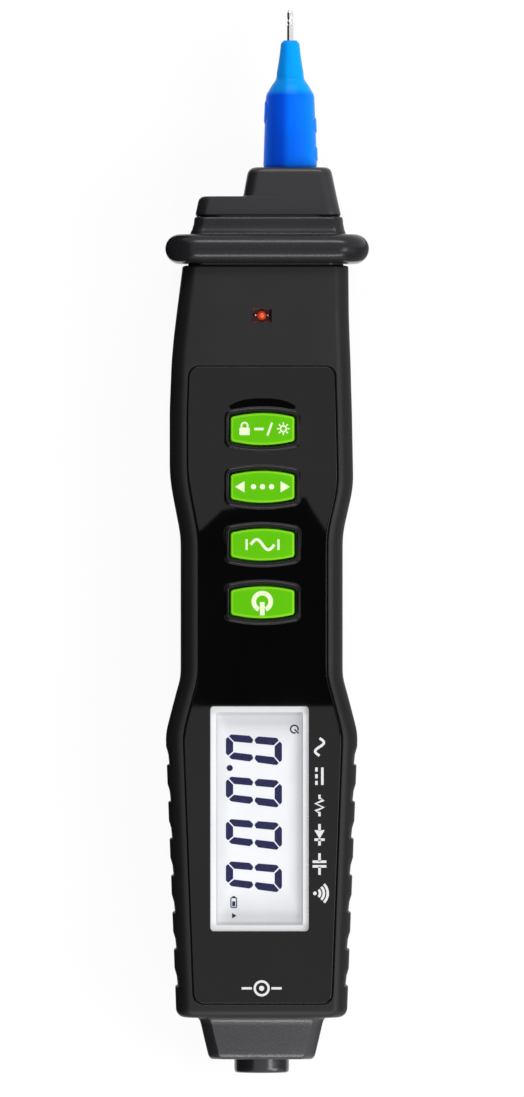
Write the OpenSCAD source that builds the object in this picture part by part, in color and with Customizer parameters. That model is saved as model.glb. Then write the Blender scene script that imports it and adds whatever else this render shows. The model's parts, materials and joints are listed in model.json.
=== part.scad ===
// Pen multimeter lying on its back: X across, Y towards the probe tip, Z out of the front face.
// The origin is the middle of the whole outline, on the surface that the back rests on.

/* [Lengths along the pen] */
// How far the jack stub stands out of the tail block
com_len = 2.7; // [2:0.1:5]
// Length of the tail block
tail_len = 8.2; // [6:0.1:12]
// Length of the two housing shells
body_len = 146.6; // [122:0.2:170]
// Joint between the shells and the hand guard
guard_gap = 0.5; // [0.2:0.1:1]
// Thickness of the hand guard
guard_t = 5.6; // [4:0.1:7]
// Length of the guard's collar
collar_len = 3.4; // [2.5:0.1:5]
// Joint between the collar and the nose
nose_gap = 0.2; // [0.1:0.05:0.4]
// Length of the nose's lower step
nose_len = 3.8; // [3:0.1:6]
// Length of the nose's upper step
nose_top_len = 5.7; // [4.5:0.1:8]
// Length of the insulating sleeve
sleeve_len = 24.9; // [22:0.1:30]
// Bare probe beyond the sleeve
pin_out = 6.4; // [5:0.1:10]

/* [Housing] */
// Width at the display end
body_w = 37.5; // [36.5:0.1:42]
// Depth of the housing from back to front face
body_h = 27.2; // [22.6:0.1:30]
// Wall of the shells
wall = 2.2; // [1.8:0.1:2.3]
// Wall that closes the tail end
end_wall = 2.1; // [1.6:0.1:2.4]
// Front edge rounding, across and in depth
front_rx = 2.9; // [2.4:0.1:3]
front_rz = 6.5; // [5:0.1:7]
// Back edge rounding, across and in depth
back_rx = 5.0; // [3:0.1:5.4]
back_rz = 6.0; // [4:0.1:8]
// Rounding of the tail end's edge
end_r = 1.8; // [1:0.1:2]

/* [Grip] */
// Number of notches down each side
grip_count = 7; // [3:1:8]
// Distance from one notch to the next
grip_pitch = 7.2; // [6:0.1:7.2]
// Length of a notch
grip_len = 3.7; // [2.5:0.1:4.5]
// Depth of a notch
grip_depth = 0.45; // [0.2:0.05:0.7]
// Lowest notch above the tail end
grip_up = 5.9; // [4:0.1:7]

/* [Guard, nose and tail] */
// Width of the hand guard
guard_w = 39.7; // [39.7:0.1:48]
// How far the guard stands above the front face
guard_proud = 1.8; // [1:0.1:6]
// Corner rounding of the guard seen from its end
guard_r = 6.8; // [5:0.1:10]
// Width of the collar and of the nose's lower step
nose_w = 28.6; // [28.2:0.1:31]
// Sideways place of the nose from the guard's middle
nose_x = 0.2; // [-0.3:0.05:0.5]
// Depth of the collar
collar_h = 22.4; // [22.2:0.1:24]
// Depth of the nose's lower step
nose_h = 20.6; // [19:0.1:22]
// Width of the nose's upper step
nose_top_w = 17.9; // [15:0.1:19]
// Depth of the nose's upper step
nose_top_h = 16.4; // [13:0.1:18]
// Edge rounding of the nose
nose_r = 0.8; // [0.4:0.1:1.2]
// Width and depth of the tail block at the shells
tail_w = 23.8; // [20:0.1:26]
tail_h = 18.4; // [17:0.1:20]
// Draw-in of the tail block on each side
tail_taper = 1.6; // [0.5:0.1:2]

/* [Face panel and keys] */
// Thickness of the face panel
panel_t = 1.2; // [1:0.05:1.4]
// Margin of the panel at the left and right edge
panel_left = 3.5; // [3.2:0.1:4.5]
panel_right = 3.1; // [3:0.1:4.5]
// Panel's lower end above the tail end
panel_low = 2.8; // [2.4:0.1:5]
// Panel's upper end below the shells' open end
panel_high = 19.7; // [18:0.1:21]
// Corner rounding of the panel
panel_r = 2.0; // [1:0.1:3]
// Depth of the finger dish
dish_depth = 0.45; // [0.2:0.05:0.6]
// Width of the finger dish
dish_w = 16.6; // [16:0.1:18]
// Face of a key, across and along the pen
key_w = 12.4; // [11:0.1:12.8]
key_l = 6.2; // [5:0.1:6.6]
// Bow of a key's long edges
key_bow = 0.65; // [0.3:0.05:0.9]
// Sideways place of the keys from the housing's middle
key_shift = 0.17; // [-0.5:0.01:0.5]
// Width of the raised rim round a key
rim_w = 1.0; // [0.6:0.05:1.2]
// Height of that rim above the panel
rim_up = 0.3; // [0.1:0.05:0.5]
// Height of a key's face above the panel
key_proud = 0.7; // [0.4:0.05:1.2]
// Travel of a key
key_travel = 0.8; // [0.4:0.05:0.9]

/* [Display] */
// Window, across and along the pen
lens_w = 19.1; // [17:0.1:20]
lens_l = 43.7; // [40:0.1:45]
// Middle of the window above the tail end
lens_up = 38.8; // [38:0.1:40]
// Sideways place of the window from the housing's middle
lens_shift = -0.4; // [-0.6:0.05:0.6]
// Thickness of the window
lens_t = 0.8; // [0.6:0.05:1]
// Corner rounding of the window
lens_r = 0.6; // [0.3:0.05:1.2]
// Width of the white frame
frame_w = 1.1; // [0.8:0.05:1.4]
// Thickness of the display glass
glass_t = 2.7; // [2:0.1:2.8]
// Thickness of the light guide behind the glass
backlight_t = 1.2; // [1:0.1:1.6]
// Margin of the display glass beyond the window
glass_margin = 1.1; // [0.8:0.1:1.4]

/* [Board and indicator] */
// Thickness of the circuit board
board_t = 1.6; // [1.2:0.1:1.8]
// Window of the indicator, across and along the pen
led_win_w = 3.75; // [3:0.05:5]
led_win_l = 2.8; // [2.4:0.05:4]
// Diameter of the indicator's dome
led_d = 1.6; // [1.2:0.05:2]
// Indicator below the shells' open end
led_in = 9.8; // [9:0.1:11]

/* [Probe] */
// Sideways place of the probe from the guard's middle
probe_x = 4.5; // [3:0.1:5]
// Diameter of the bare probe
pin_d = 1.32; // [1.1:0.02:1.6]
// Diameter of the rod inside the sleeve
rod_d = 2.0; // [1.8:0.05:2.2]
// Diameter of the insulating bush
bush_d = 4.4; // [4:0.1:4.8]
// Length of the bush beyond the nose
bush_out = 7.6; // [5:0.1:9]
// Diameter of the sleeve at its base and at its shoulder
sleeve_d = 10.5; // [9:0.1:12]
shoulder_d = 9.6; // [8.5:0.1:10.5]
// Diameter of the sleeve's neck and of its mouth
neck_d = 5.8; // [5:0.1:6.5]
mouth_d = 3.1; // [2.8:0.1:4]

/* [COM jack] */
// Outer diameter of the jack's stub
com_d = 10.7; // [10.2:0.1:11]
// Diameter of the recess for a shrouded plug
com_recess_d = 8.3; // [8:0.1:8.6]
// Bore for the plug's pin
com_bore_d = 4.0; // [3.9:0.05:4.1]
// Outer diameter of the contact tube
com_tube_d = 5.2; // [4.8:0.1:5.6]
// Length of the contact tube
com_tube_len = 19.0; // [17:0.5:20]

/* [Batteries] */
// Diameter and length of a cell
cell_d = 10.5; // [10:0.1:10.5]
cell_l = 44.5; // [40:0.1:45]
// Middle of the bay above the tail end
bay_up = 38.5; // [38:0.1:40]
// Length of the bay
bay_len = 50.0; // [49.4:0.1:51]
// Thickness of the battery cover
cover_t = 1.5; // [1.2:0.05:1.6]
// Width and length of the battery cover
cover_w = 22.8; // [22.6:0.1:24]
cover_len = 58.0; // [57.5:0.1:60]

/* [Screws] */
// Diameter of a screw's shank and head
screw_d = 2.5; // [2:0.1:2.6]
screw_head_d = 4.6; // [4:0.1:4.8]
// Thickness of a screw's head
screw_head_t = 1.2; // [0.8:0.1:1.4]

/* [Hidden] */
$fn = 48;

// Overrun of a cut past the face that it leaves by
over = 1.0;
// Least depth that a joined solid sinks into what carries it
sink = 0.4;
// Clearance of a part let into another, and of a shaft in its bore
fit_gap = 0.15;
shaft_gap = 0.05;
// Clearance round what moves
move_gap = 0.3;

// Seam between the shells, as a share of the depth
seam_share = 0.5;
seam_z = body_h * seam_share;

// Places along the pen, from the jack's end to the probe's tip
pen_len = com_len + tail_len + body_len + guard_gap + guard_t + collar_len + nose_gap + nose_len
    + nose_top_len + sleeve_len + pin_out;
y_end = -pen_len / 2;
y_tail = y_end + com_len;
y_body = y_tail + tail_len;
y_top = y_body + body_len;
y_guard = y_top + guard_gap;
y_collar = y_guard + guard_t;
y_nose = y_collar + collar_len + nose_gap;
y_step = y_nose + nose_len;
y_sleeve = y_step + nose_top_len;
y_mouth = y_sleeve + sleeve_len;

// Edge of the shells from the pen's middle line, as shares of the width, against shares of the length
left_shares = [[0, 0.473], [0.026, 0.476], [0.377, 0.528], [0.393, 0.513], [0.441, 0.464],
    [0.448, 0.4535], [0.456, 0.450], [0.634, 0.450], [0.645, 0.4535], [0.652, 0.459], [0.696, 0.492],
    [0.712, 0.502], [0.728, 0.507], [0.808, 0.507], [0.840, 0.502], [0.872, 0.497], [0.904, 0.486],
    [0.936, 0.471], [0.968, 0.455], [1, 0.439]];
right_shares = [[0, 0.415], [0.026, 0.419], [0.377, 0.471], [0.393, 0.456], [0.441, 0.407],
    [0.448, 0.3965], [0.456, 0.393], [0.634, 0.393], [0.645, 0.3965], [0.652, 0.401], [0.696, 0.440],
    [0.712, 0.448], [0.728, 0.447], [0.808, 0.441], [0.840, 0.437], [0.872, 0.434], [0.904, 0.429],
    [0.936, 0.425], [0.968, 0.424], [1, 0.423]];
// Front and back face as shares of the depth
front_shares = [[0, 1], [0.94, 1], [1, 0.962]];
back_shares = [[0, 0], [0.95, 0], [1, 0.028]];
// Middle of the housing at its waist
mid_x = body_w * (lookup(0.5, right_shares) - lookup(0.5, left_shares)) / 2;
// Middle of the shells' open end
neck_x = body_w * (lookup(1, right_shares) - lookup(1, left_shares)) / 2;

// Depth of the tail end's rounding at a place along the pen
function end_inset(y) = y > y_body + end_r ? 0
    : end_r - sqrt(max(0, pow(end_r, 2) - pow(y_body + end_r - y, 2)));
// A notch has a steep lower lip and a long upper slope
notch_shares = [[0, 0], [0.08, 1], [0.6, 0.75], [1, 0]];
function notch_y(i) = y_body + grip_up + i * grip_pitch;
function notch(y) = grip_depth * max([for (i = [0:grip_count - 1])
    lookup((y - notch_y(i)) / grip_len, notch_shares)]);
function share_y(y) = (y - y_body) / body_len;
function edge_left(y) = body_w * lookup(share_y(y), left_shares);
function edge_right(y) = body_w * lookup(share_y(y), right_shares);
function face_front(y) = body_h * lookup(share_y(y), front_shares);
function face_back(y) = body_h * lookup(share_y(y), back_shares);

// Stations of the shells: the rounded tail end, the notches, then the corners of the outline
arc_steps = 4;
grip_top = notch_y(grip_count - 1) + grip_len;
stations = concat(
    [for (i = [0:arc_steps]) y_body + end_r * (1 - cos(90 * i / arc_steps))],
    [for (i = [0:grip_count - 1]) for (s = notch_shares) notch_y(i) + grip_len * s[0]],
    [for (s = left_shares) if (y_body + body_len * s[0] > grip_top + sink) y_body + body_len * s[0]]);

// Half sections, counterclockwise seen from the tail
corner_steps = 6;
function front_half(l, r, z, rx, rz) = concat([[r, seam_z]],
    [for (k = [0:corner_steps]) let (a = 90 * k / corner_steps)
        [r - rx + rx * cos(a), z - rz + rz * sin(a)]],
    [for (k = [0:corner_steps]) let (a = 90 + 90 * k / corner_steps)
        [-l + rx + rx * cos(a), z - rz + rz * sin(a)]],
    [[-l, seam_z]]);
function back_half(l, r, z, rx, rz) = concat([[-l, seam_z]],
    [for (k = [0:corner_steps]) let (a = 180 + 90 * k / corner_steps)
        [-l + rx + rx * cos(a), z + rz + rz * sin(a)]],
    [for (k = [0:corner_steps]) let (a = 270 + 90 * k / corner_steps)
        [r - rx + rx * cos(a), z + rz + rz * sin(a)]],
    [[r, seam_z]]);
function at_y(points, y) = [for (p = points) [p[0], y, p[1]]];
function inner_y(y) = y_top - (y_top - y) * (body_len - end_wall) / body_len;

// A boat-shaped half shell between outer and inner half sections, open at its last station
module half_shell(outer, inner) {
    n = len(outer);
    m = len(outer[0]);
    e = m - 1;
    half = n * m;
    points = concat([for (s = outer) each s], [for (s = inner) each s]);
    faces = concat(
        [for (i = [0:n - 2]) for (j = [0:m - 2]) let (a = i * m + j) each
            [[a, a + 1, a + m + 1], [a, a + m + 1, a + m]]],
        [for (i = [0:n - 2]) for (j = [0:m - 2]) let (a = half + i * m + j) each
            [[a, a + m, a + m + 1], [a, a + m + 1, a + 1]]],
        [for (i = [0:n - 2]) let (a = i * m, b = half + i * m) each
            [[a, a + m, b + m], [a, b + m, b]]],
        [for (i = [0:n - 2]) let (a = i * m + e, b = half + i * m + e) each
            [[a + m, a, b], [a + m, b, b + m]]],
        [for (j = [0:m - 2]) let (a = (n - 1) * m + j, b = half + a) each
            [[a, a + 1, b + 1], [a, b + 1, b]]],
        [[for (j = [0:e]) e - j], [for (j = [0:e]) half + j], [e, 0, half, half + e]]);
    polyhedron(points, faces, convexity = 6);
}

// A closed section with rounded corners, counterclockwise seen from the tail
function ring(l, r, z0, z1, rad) = [for (c = [[r - rad, z1 - rad, 0], [l + rad, z1 - rad, 90],
    [l + rad, z0 + rad, 180], [r - rad, z0 + rad, 270]])
    for (k = [0:corner_steps]) let (a = c[2] + 90 * k / corner_steps)
        [c[0] + rad * cos(a), c[1] + rad * sin(a)]];

// A solid through closed sections
module loft(sections) {
    n = len(sections);
    m = len(sections[0]);
    faces = concat(
        [for (i = [0:n - 2]) for (j = [0:m - 1])
            let (a = i * m + j, b = i * m + (j + 1) % m) each [[a, b, b + m], [a, b + m, a + m]]],
        [[for (j = [0:m - 1]) m - 1 - j], [for (j = [0:m - 1]) (n - 1) * m + j]]);
    polyhedron([for (s = sections) each s], faces, convexity = 4);
}

// Outline that follows the shells' edges between two places, drawn in at the left and right
function side_ys(lo, hi) = [for (s = left_shares) let (y = y_body + body_len * s[0])
    if (y > lo + panel_r + sink && y < hi - panel_r - sink) y];
function inset_outline(lo, hi, inset_l, inset_r, rad) = let (ys = side_ys(lo, hi)) concat(
    [for (k = [0:arc_steps]) let (a = -90 + 90 * k / arc_steps)
        [edge_right(lo + rad) - inset_r - rad + rad * cos(a), lo + rad + rad * sin(a)]],
    [for (y = ys) [edge_right(y) - inset_r, y]],
    [for (k = [0:arc_steps]) let (a = 90 * k / arc_steps)
        [edge_right(hi - rad) - inset_r - rad + rad * cos(a), hi - rad + rad * sin(a)]],
    [for (k = [0:arc_steps]) let (a = 90 + 90 * k / arc_steps)
        [-edge_left(hi - rad) + inset_l + rad + rad * cos(a), hi - rad + rad * sin(a)]],
    [for (i = [len(ys) - 1:-1:0]) [-edge_left(ys[i]) + inset_l, ys[i]]],
    [for (k = [0:arc_steps]) let (a = 180 + 90 * k / arc_steps)
        [-edge_left(lo + rad) + inset_l + rad + rad * cos(a), lo + rad + rad * sin(a)]]);

// Straight solid over an outline, from one height to another
module slab(z0, z1) {
    translate([0, 0, z0])
        linear_extrude(z1 - z0)
            children();
}
module box_at(x0, x1, y0, y1, z0, z1) {
    translate([x0, y0, z0])
        cube([x1 - x0, y1 - y0, z1 - z0]);
}
// Round bar along the pen
module bar_y(r, y0, y1) {
    translate([0, y0, 0])
        rotate([-90, 0, 0])
            cylinder(r = r, h = y1 - y0);
}
// Rectangle with round corners about a middle point
module soft_rect(w, l, r) {
    polygon([for (c = [[1, 1, 0], [-1, 1, 90], [-1, -1, 180], [1, -1, 270]])
        for (k = [0:arc_steps]) let (a = c[2] + 90 * k / arc_steps)
            [c[0] * (w / 2 - r) + r * cos(a), c[1] * (l / 2 - r) + r * sin(a)]]);
}

// Heights inside the housing
z_face = body_h;
z_panel = z_face - panel_t;
z_under = z_face - wall;
z_glass = z_under - fit_gap;
z_board = z_glass - glass_t - backlight_t;
z_board_low = z_board - board_t;

// Housing screws: two by the nose and two by the jack
boss_r = 2.8;
post_r = 3.2;
boss_side = 11.4;
boss_low_up = 7.6;
screw_places = [for (y = [y_top - led_in, y_body + boss_low_up]) for (s = [-1, 1])
    [mid_x + s * boss_side, y]];
screw_r = screw_d / 2;
screw_head_r = screw_head_d / 2;
screw_sunk = 1.0;
screw_reach = 17.0;

// The jack's hole in the tail end
spigot_r = 7.0;

// Keys, top one first, with their middles as shares of the shells' length
key_shares = [0.7824, 0.7057, 0.6289, 0.5522];
key_x = mid_x + key_shift;
key_r = 0.6;
function key_y(i) = y_body + body_len * key_shares[i];
// A rectangle with bowed long edges and round corners, grown by a margin
bow_steps = 8;
module key_outline(grow) {
    w = key_w / 2 + grow;
    h = key_l / 2 + grow;
    side = h - key_bow;
    r = key_r + grow / 2;
    top = concat(
        [for (k = [0:2]) let (a = 10 + 30 * k) [w - r + r * cos(a), side - r + r * sin(a)]],
        [for (k = [1:bow_steps - 1]) let (t = 1 - 2 * k / bow_steps, x = t * (w - r))
            [x, side + key_bow * (1 - t * t)]],
        [for (k = [0:2]) let (a = 110 + 30 * k) [-w + r + r * cos(a), side - r + r * sin(a)]]);
    polygon(concat(top, [for (p = top) [-p[0], -p[1]]]));
}
module at_keys() {
    for (i = [0:len(key_shares) - 1])
        translate([key_x, key_y(i), 0])
            children();
}
flange_w = 0.9;
flange_t = 0.6;
flange_gap = 0.2;
plunger_w = 8.0;
plunger_l = 3.4;
plunger_r = 0.8;
mat_t = 1.0;
mat_wall = 0.8;
mat_up = 2.2;
mat_margin = 3.4;
z_flange = z_under - flange_gap;

// Display
lens_x = mid_x + lens_shift;
lens_y = y_body + lens_up;
module at_display() {
    translate([lens_x, lens_y, 0])
        children();
}
lens_down = 0.1;
z_lens = z_face - lens_down - lens_t;

module front_shell() {
    color("#353539")
        difference() {
            union() {
                half_shell(
                    [for (y = stations) let (d = end_inset(y), g = notch(y))
                        at_y(front_half(edge_left(y) - d - g, edge_right(y) - d - g, face_front(y) - d,
                            front_rx, front_rz), y)],
                    [for (y = stations) at_y(front_half(edge_left(y) - wall, edge_right(y) - wall,
                        face_front(y) - wall, front_rx - wall / 2, front_rz - wall / 2), inner_y(y))]);
                for (p = screw_places)
                    translate([p[0], p[1], seam_z + shaft_gap])
                        cylinder(r = boss_r, h = z_under - seam_z + sink);
            }
            slab(z_panel, z_face + over)
                polygon(inset_outline(y_body + panel_low - fit_gap, y_top - panel_high + fit_gap,
                    panel_left - fit_gap, panel_right - fit_gap, panel_r));
            at_keys()
                slab(z_under - over, z_face)
                    key_outline(2 * move_gap);
            at_display()
                slab(z_under - over, z_face)
                    soft_rect(lens_w + 2 * fit_gap, lens_l + 2 * fit_gap, lens_r);
            translate([mid_x, y_top - led_in, 0])
                slab(z_under - over, z_face + over)
                    square([led_win_w, led_win_l], center = true);
            for (p = screw_places)
                translate([p[0], p[1], seam_z - over])
                    cylinder(r = screw_r + shaft_gap, h = screw_reach - seam_z + screw_sunk
                        + screw_head_t + over + shaft_gap);
            translate([mid_x, 0, seam_z])
                bar_y(spigot_r + fit_gap, y_body - over, y_body + end_wall + over);
        }
}

// Battery bay, open to the back
cell_r = cell_d / 2;
bay_gap = 0.4;
bay_w = 2 * cell_d + 2 * bay_gap;
bay_wall = 1.2;
y_bay0 = y_body + bay_up - bay_len / 2;
y_bay1 = y_bay0 + bay_len;
cell_z = wall + shaft_gap + cell_r;
z_roof = cell_z + cell_r + move_gap;
// Battery cover and its screw
cover_low = 1.6;
y_cover0 = y_bay0 + cover_low;
y_cover1 = y_cover0 + cover_len;
cover_screw_in = 4.0;
y_cover_screw = y_cover1 - cover_screw_in;
cover_r = 1.5;
pad_r = 3.6;
pad_t = 1.5;
column_r = 5.2;
column_up = 9.0;
tilt_gap = 0.35;
lug_w = 3.2;
lug_reach = 1.2;
lug_t = 1.0;

module bay_solid() {
    box_at(mid_x - bay_w / 2 - bay_wall, mid_x + bay_w / 2 + bay_wall, y_bay0 - bay_wall,
        y_bay1 + bay_wall, wall - sink, z_roof + bay_wall);
    translate([mid_x, y_cover_screw, wall - sink])
        cylinder(r = column_r, h = column_up - wall + sink);
}
module bay_cuts() {
    box_at(mid_x - bay_w / 2, mid_x + bay_w / 2, y_bay0, y_bay1, wall, z_roof);
    box_at(mid_x - bay_w / 2, mid_x + bay_w / 2, y_cover0 - fit_gap, y_bay1, -over, z_roof);
    translate([mid_x, (y_cover0 + y_cover1) / 2, 0])
        slab(-over, cover_t + shaft_gap)
            soft_rect(cover_w + 2 * fit_gap, cover_len + 2 * fit_gap, cover_r + fit_gap);
    translate([mid_x, y_cover_screw, -over])
        cylinder(r = pad_r + move_gap, h = over + cover_t + pad_t + fit_gap);
    translate([mid_x, y_cover_screw, 0])
        cylinder(r = screw_r + tilt_gap, h = column_up - bay_wall);
}

module back_shell() {
    color("#2d2d30")
        difference() {
            union() {
                half_shell(
                    [for (y = stations) let (d = end_inset(y), g = notch(y))
                        at_y(back_half(edge_left(y) - d - g, edge_right(y) - d - g, face_back(y) + d,
                            back_rx, back_rz), y)],
                    [for (y = stations) at_y(back_half(edge_left(y) - wall, edge_right(y) - wall,
                        face_back(y) + wall, back_rx - wall / 2, back_rz - wall / 2), inner_y(y))]);
                bay_solid();
                for (p = screw_places)
                    translate([p[0], p[1], wall - sink])
                        cylinder(r = post_r, h = seam_z - wall + sink - shaft_gap);
            }
            bay_cuts();
            for (p = screw_places)
                translate([p[0], p[1], -over]) {
                    cylinder(r = screw_r + fit_gap, h = seam_z + 2 * over);
                    cylinder(r = screw_head_r + fit_gap, h = over + screw_sunk + screw_head_t + fit_gap);
                }
            translate([mid_x, 0, seam_z])
                bar_y(spigot_r + fit_gap, y_body - over, y_body + end_wall + over);
        }
}

// Neck of the nose, through the guard and into the shells
neck_gap = 0.3;
neck_half = (edge_left(y_top) + edge_right(y_top)) / 2 - wall - neck_gap;
neck_z0 = face_back(y_top) + wall + neck_gap;
neck_z1 = face_front(y_top) - wall - neck_gap;
neck_in = 4.0;
neck_wall = 1.8;
neck_r = back_rz - wall / 2 + neck_gap;
hole_gap = 0.2;
guard_steps = 8;
guard_h = body_h + guard_proud;
nose_mid_z = (neck_z0 + neck_z1) / 2;
collar_r = 2.6;

module hand_guard() {
    rad = guard_t / 2;
    color("#2b2b2e")
        difference() {
            union() {
                loft([for (k = [0:guard_steps])
                    let (a = -90 + 180 * k / guard_steps, d = rad * (1 - cos(a)))
                    at_y(ring(-guard_w / 2 + d, guard_w / 2 - d, d, guard_h - d, guard_r - d),
                        y_guard + rad + rad * sin(a))]);
                loft([for (s = [[-sink, sink], [sink, 0], [collar_len - sink, 0], [collar_len, -sink / 2]])
                    let (w = nose_w / 2 + s[1], h = collar_h / 2 + s[1])
                    at_y(ring(nose_x - w, nose_x + w, nose_mid_z - h, nose_mid_z + h, collar_r),
                        y_collar + s[0])]);
            }
            loft([for (y = [y_guard - over, y_collar + collar_len + over])
                at_y(ring(neck_x - neck_half - hole_gap, neck_x + neck_half + hole_gap,
                    neck_z0 - hole_gap, neck_z1 + hole_gap, neck_r), y)]);
        }
}

rod_r = rod_d / 2;
pin_r = pin_d / 2;
bush_r = bush_d / 2;
probe_z = seam_z;
bush_flange_r = 3.4;
bush_flange_t = 1.5;
nose_wall = 1.2;
y_cavity = y_nose + nose_wall;
step_draw = 0.7;

module nose_cap() {
    w = nose_w / 2 - nose_r / 2;
    h = nose_h / 2;
    tw = nose_top_w / 2;
    th = nose_top_h / 2;
    color("#303034")
        difference() {
            union() {
                loft([for (s = [[0, sink], [sink, 0], [nose_len / 2, sink], [nose_len - nose_r, step_draw],
                    [nose_len - nose_r / 4, step_draw + nose_r / 4], [nose_len, step_draw + nose_r]])
                    at_y(ring(nose_x - w + s[1], nose_x + w - s[1], nose_mid_z - h + s[1],
                        nose_mid_z + h - s[1], collar_r - sink), y_nose + s[0])]);
                loft([for (s = [[-sink, 0], [nose_top_len / 2, step_draw / 2],
                    [nose_top_len - nose_r, step_draw], [nose_top_len - nose_r / 4, step_draw + nose_r / 4],
                    [nose_top_len, step_draw + nose_r]])
                    at_y(ring(probe_x - tw + s[1], probe_x + tw - s[1], nose_mid_z - th + s[1],
                        nose_mid_z + th - s[1], collar_r - sink), y_step + s[0])]);
                loft([for (y = [y_top - neck_in, y_nose + sink])
                    at_y(ring(neck_x - neck_half, neck_x + neck_half, neck_z0, neck_z1, neck_r), y)]);
            }
            loft([for (y = [y_top - neck_in - over, y_cavity])
                at_y(ring(neck_x - neck_half + neck_wall, neck_x + neck_half - neck_wall,
                    neck_z0 + neck_wall, neck_z1 - neck_wall, neck_r), y)]);
            translate([probe_x, 0, probe_z])
                bar_y(bush_r + shaft_gap, y_cavity - over, y_sleeve + over);
        }
}

com_r = com_d / 2;
com_recess_r = com_recess_d / 2;
com_bore_r = com_bore_d / 2;
com_tube_r = com_tube_d / 2;
tail_r = 3.0;
tail_edge = 1.2;
collet_t = 1.2;
collet_r = 8.2;

module tail_cap() {
    w = tail_w / 2;
    h = tail_h / 2;
    color("#3a3a3e")
        difference() {
            union() {
                loft([for (s = [[0, tail_taper + tail_edge], [tail_edge / 4, tail_taper + tail_edge / 3],
                    [tail_edge, tail_taper], [tail_len - shaft_gap, 0]])
                    at_y(ring(mid_x - w + s[1], mid_x + w - s[1], seam_z - h + s[1], seam_z + h - s[1],
                        tail_r), y_tail + s[0])]);
                translate([mid_x, 0, seam_z]) {
                    bar_y(spigot_r, y_body - sink, y_body + end_wall + sink);
                    bar_y(collet_r, y_body + end_wall + shaft_gap, y_body + end_wall + collet_t);
                }
            }
            translate([mid_x, 0, seam_z])
                bar_y(com_r + shaft_gap, y_tail - over, y_body + end_wall + collet_t + over);
        }
}

// Radius of the dish's cylinder from its width and depth
dish_radius = (pow(dish_w / 2, 2) + pow(dish_depth, 2)) / (2 * dish_depth);
dish_top = 6.0;
dish_low = 7.6;

module face_panel() {
    color("#0b0b0c")
        difference() {
            union() {
                difference() {
                    slab(z_panel, z_face)
                        polygon(inset_outline(y_body + panel_low, y_top - panel_high,
                            panel_left, panel_right, panel_r));
                    intersection() {
                        translate([key_x, key_y(3) - dish_low, z_face - dish_depth + dish_radius])
                            bar_y(dish_radius, 0, key_y(0) - key_y(3) + dish_top + dish_low);
                        slab(z_panel, z_face + over)
                            translate([key_x, (key_y(0) + key_y(3) + dish_top - dish_low) / 2])
                                soft_rect(dish_w, key_y(0) - key_y(3) + dish_top + dish_low, dish_w / 3);
                    }
                }
                at_keys()
                    slab(z_panel, z_face + rim_up)
                        key_outline(move_gap + rim_w);
            }
            at_keys()
                slab(z_panel - over, z_face + rim_up + over)
                    key_outline(move_gap);
            at_display()
                slab(z_panel - over, z_face + over)
                    soft_rect(lens_w + 2 * shaft_gap, lens_l + 2 * shaft_gap, lens_r);
        }
}

module display_lens() {
    color("#dfe8ee", 0.4)
        at_display()
            slab(z_lens, z_face - lens_down)
                soft_rect(lens_w, lens_l, lens_r);
}

module display_frame() {
    color("#f2f4f6")
        at_display()
            difference() {
                slab(z_glass, z_lens)
                    soft_rect(lens_w, lens_l, lens_r);
                slab(z_glass - over, z_lens + over)
                    soft_rect(lens_w - 2 * frame_w, lens_l - 2 * frame_w, lens_r / 2);
            }
}

module lcd_glass() {
    color("#d4dbe2")
        at_display()
            slab(z_glass - glass_t, z_glass)
                square([lens_w + 2 * glass_margin, lens_l + 2 * glass_margin], center = true);
}

strip_w = 1.2;
module backlight() {
    color("#f4f4ee")
        at_display()
            slab(z_board, z_glass - glass_t)
                square([lens_w + 2 * glass_margin - 2 * strip_w - 2 * fit_gap, lens_l], center = true);
}

module contact_strips() {
    color("#c8a0a8")
        at_display()
            for (s = [-1, 1])
                translate([s * (lens_w / 2 + glass_margin - strip_w / 2), 0])
                    slab(z_board, z_glass - glass_t)
                        square([strip_w, lens_l], center = true);
}

board_gap = 0.4;
board_low = 13.1;
board_end_gap = 1.0;
module circuit_board() {
    color("#1f6b3a")
        difference() {
            slab(z_board_low, z_board)
                polygon(inset_outline(y_body + board_low, y_top - neck_in - board_end_gap,
                    wall + board_gap, wall + board_gap, panel_r));
            for (p = screw_places)
                translate([p[0], p[1], z_board_low - over])
                    cylinder(r = boss_r + move_gap, h = board_t + 2 * over);
        }
}

module key_mat() {
    color("#9aa0a4")
        difference() {
            union() {
                translate([key_x, (key_y(0) + key_y(3)) / 2])
                    slab(z_board, z_board + mat_t)
                        soft_rect(key_w + mat_margin, key_y(0) - key_y(3) + key_l + mat_margin, plunger_r);
                at_keys()
                    slab(z_board, z_board + mat_up)
                        soft_rect(plunger_w + 2 * move_gap + 2 * mat_wall, plunger_l + 2 * move_gap
                            + 2 * mat_wall, plunger_r + mat_wall);
            }
            at_keys()
                slab(z_board - over, z_board + mat_up + over)
                    soft_rect(plunger_w + 2 * move_gap, plunger_l + 2 * move_gap, plunger_r);
        }
}

module key(i) {
    color("#63c30a")
        translate([key_x, key_y(i), 0]) {
            slab(z_flange - flange_t / 2, z_face + key_proud)
                key_outline(0);
            slab(z_flange - flange_t, z_flange)
                key_outline(flange_w);
            slab(z_board + key_travel + shaft_gap, z_flange - flange_t / 2)
                soft_rect(plunger_w, plunger_l, plunger_r);
        }
}

led_r = led_d / 2;
led_base_r = 1.3;
led_base_t = 2.0;
led_down = 0.6;
holder_w = 5.0;
holder_l = 4.4;
holder_gap = 0.35;
module indicator_led() {
    z_dome = z_face - led_down - led_r;
    color("#c8200c")
        translate([mid_x, y_top - led_in, 0]) {
            translate([0, 0, z_board])
                cylinder(r = led_base_r, h = led_base_t);
            translate([0, 0, z_board])
                cylinder(r = led_r, h = z_dome - z_board);
            translate([0, 0, z_dome])
                sphere(r = led_r);
        }
}

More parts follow.
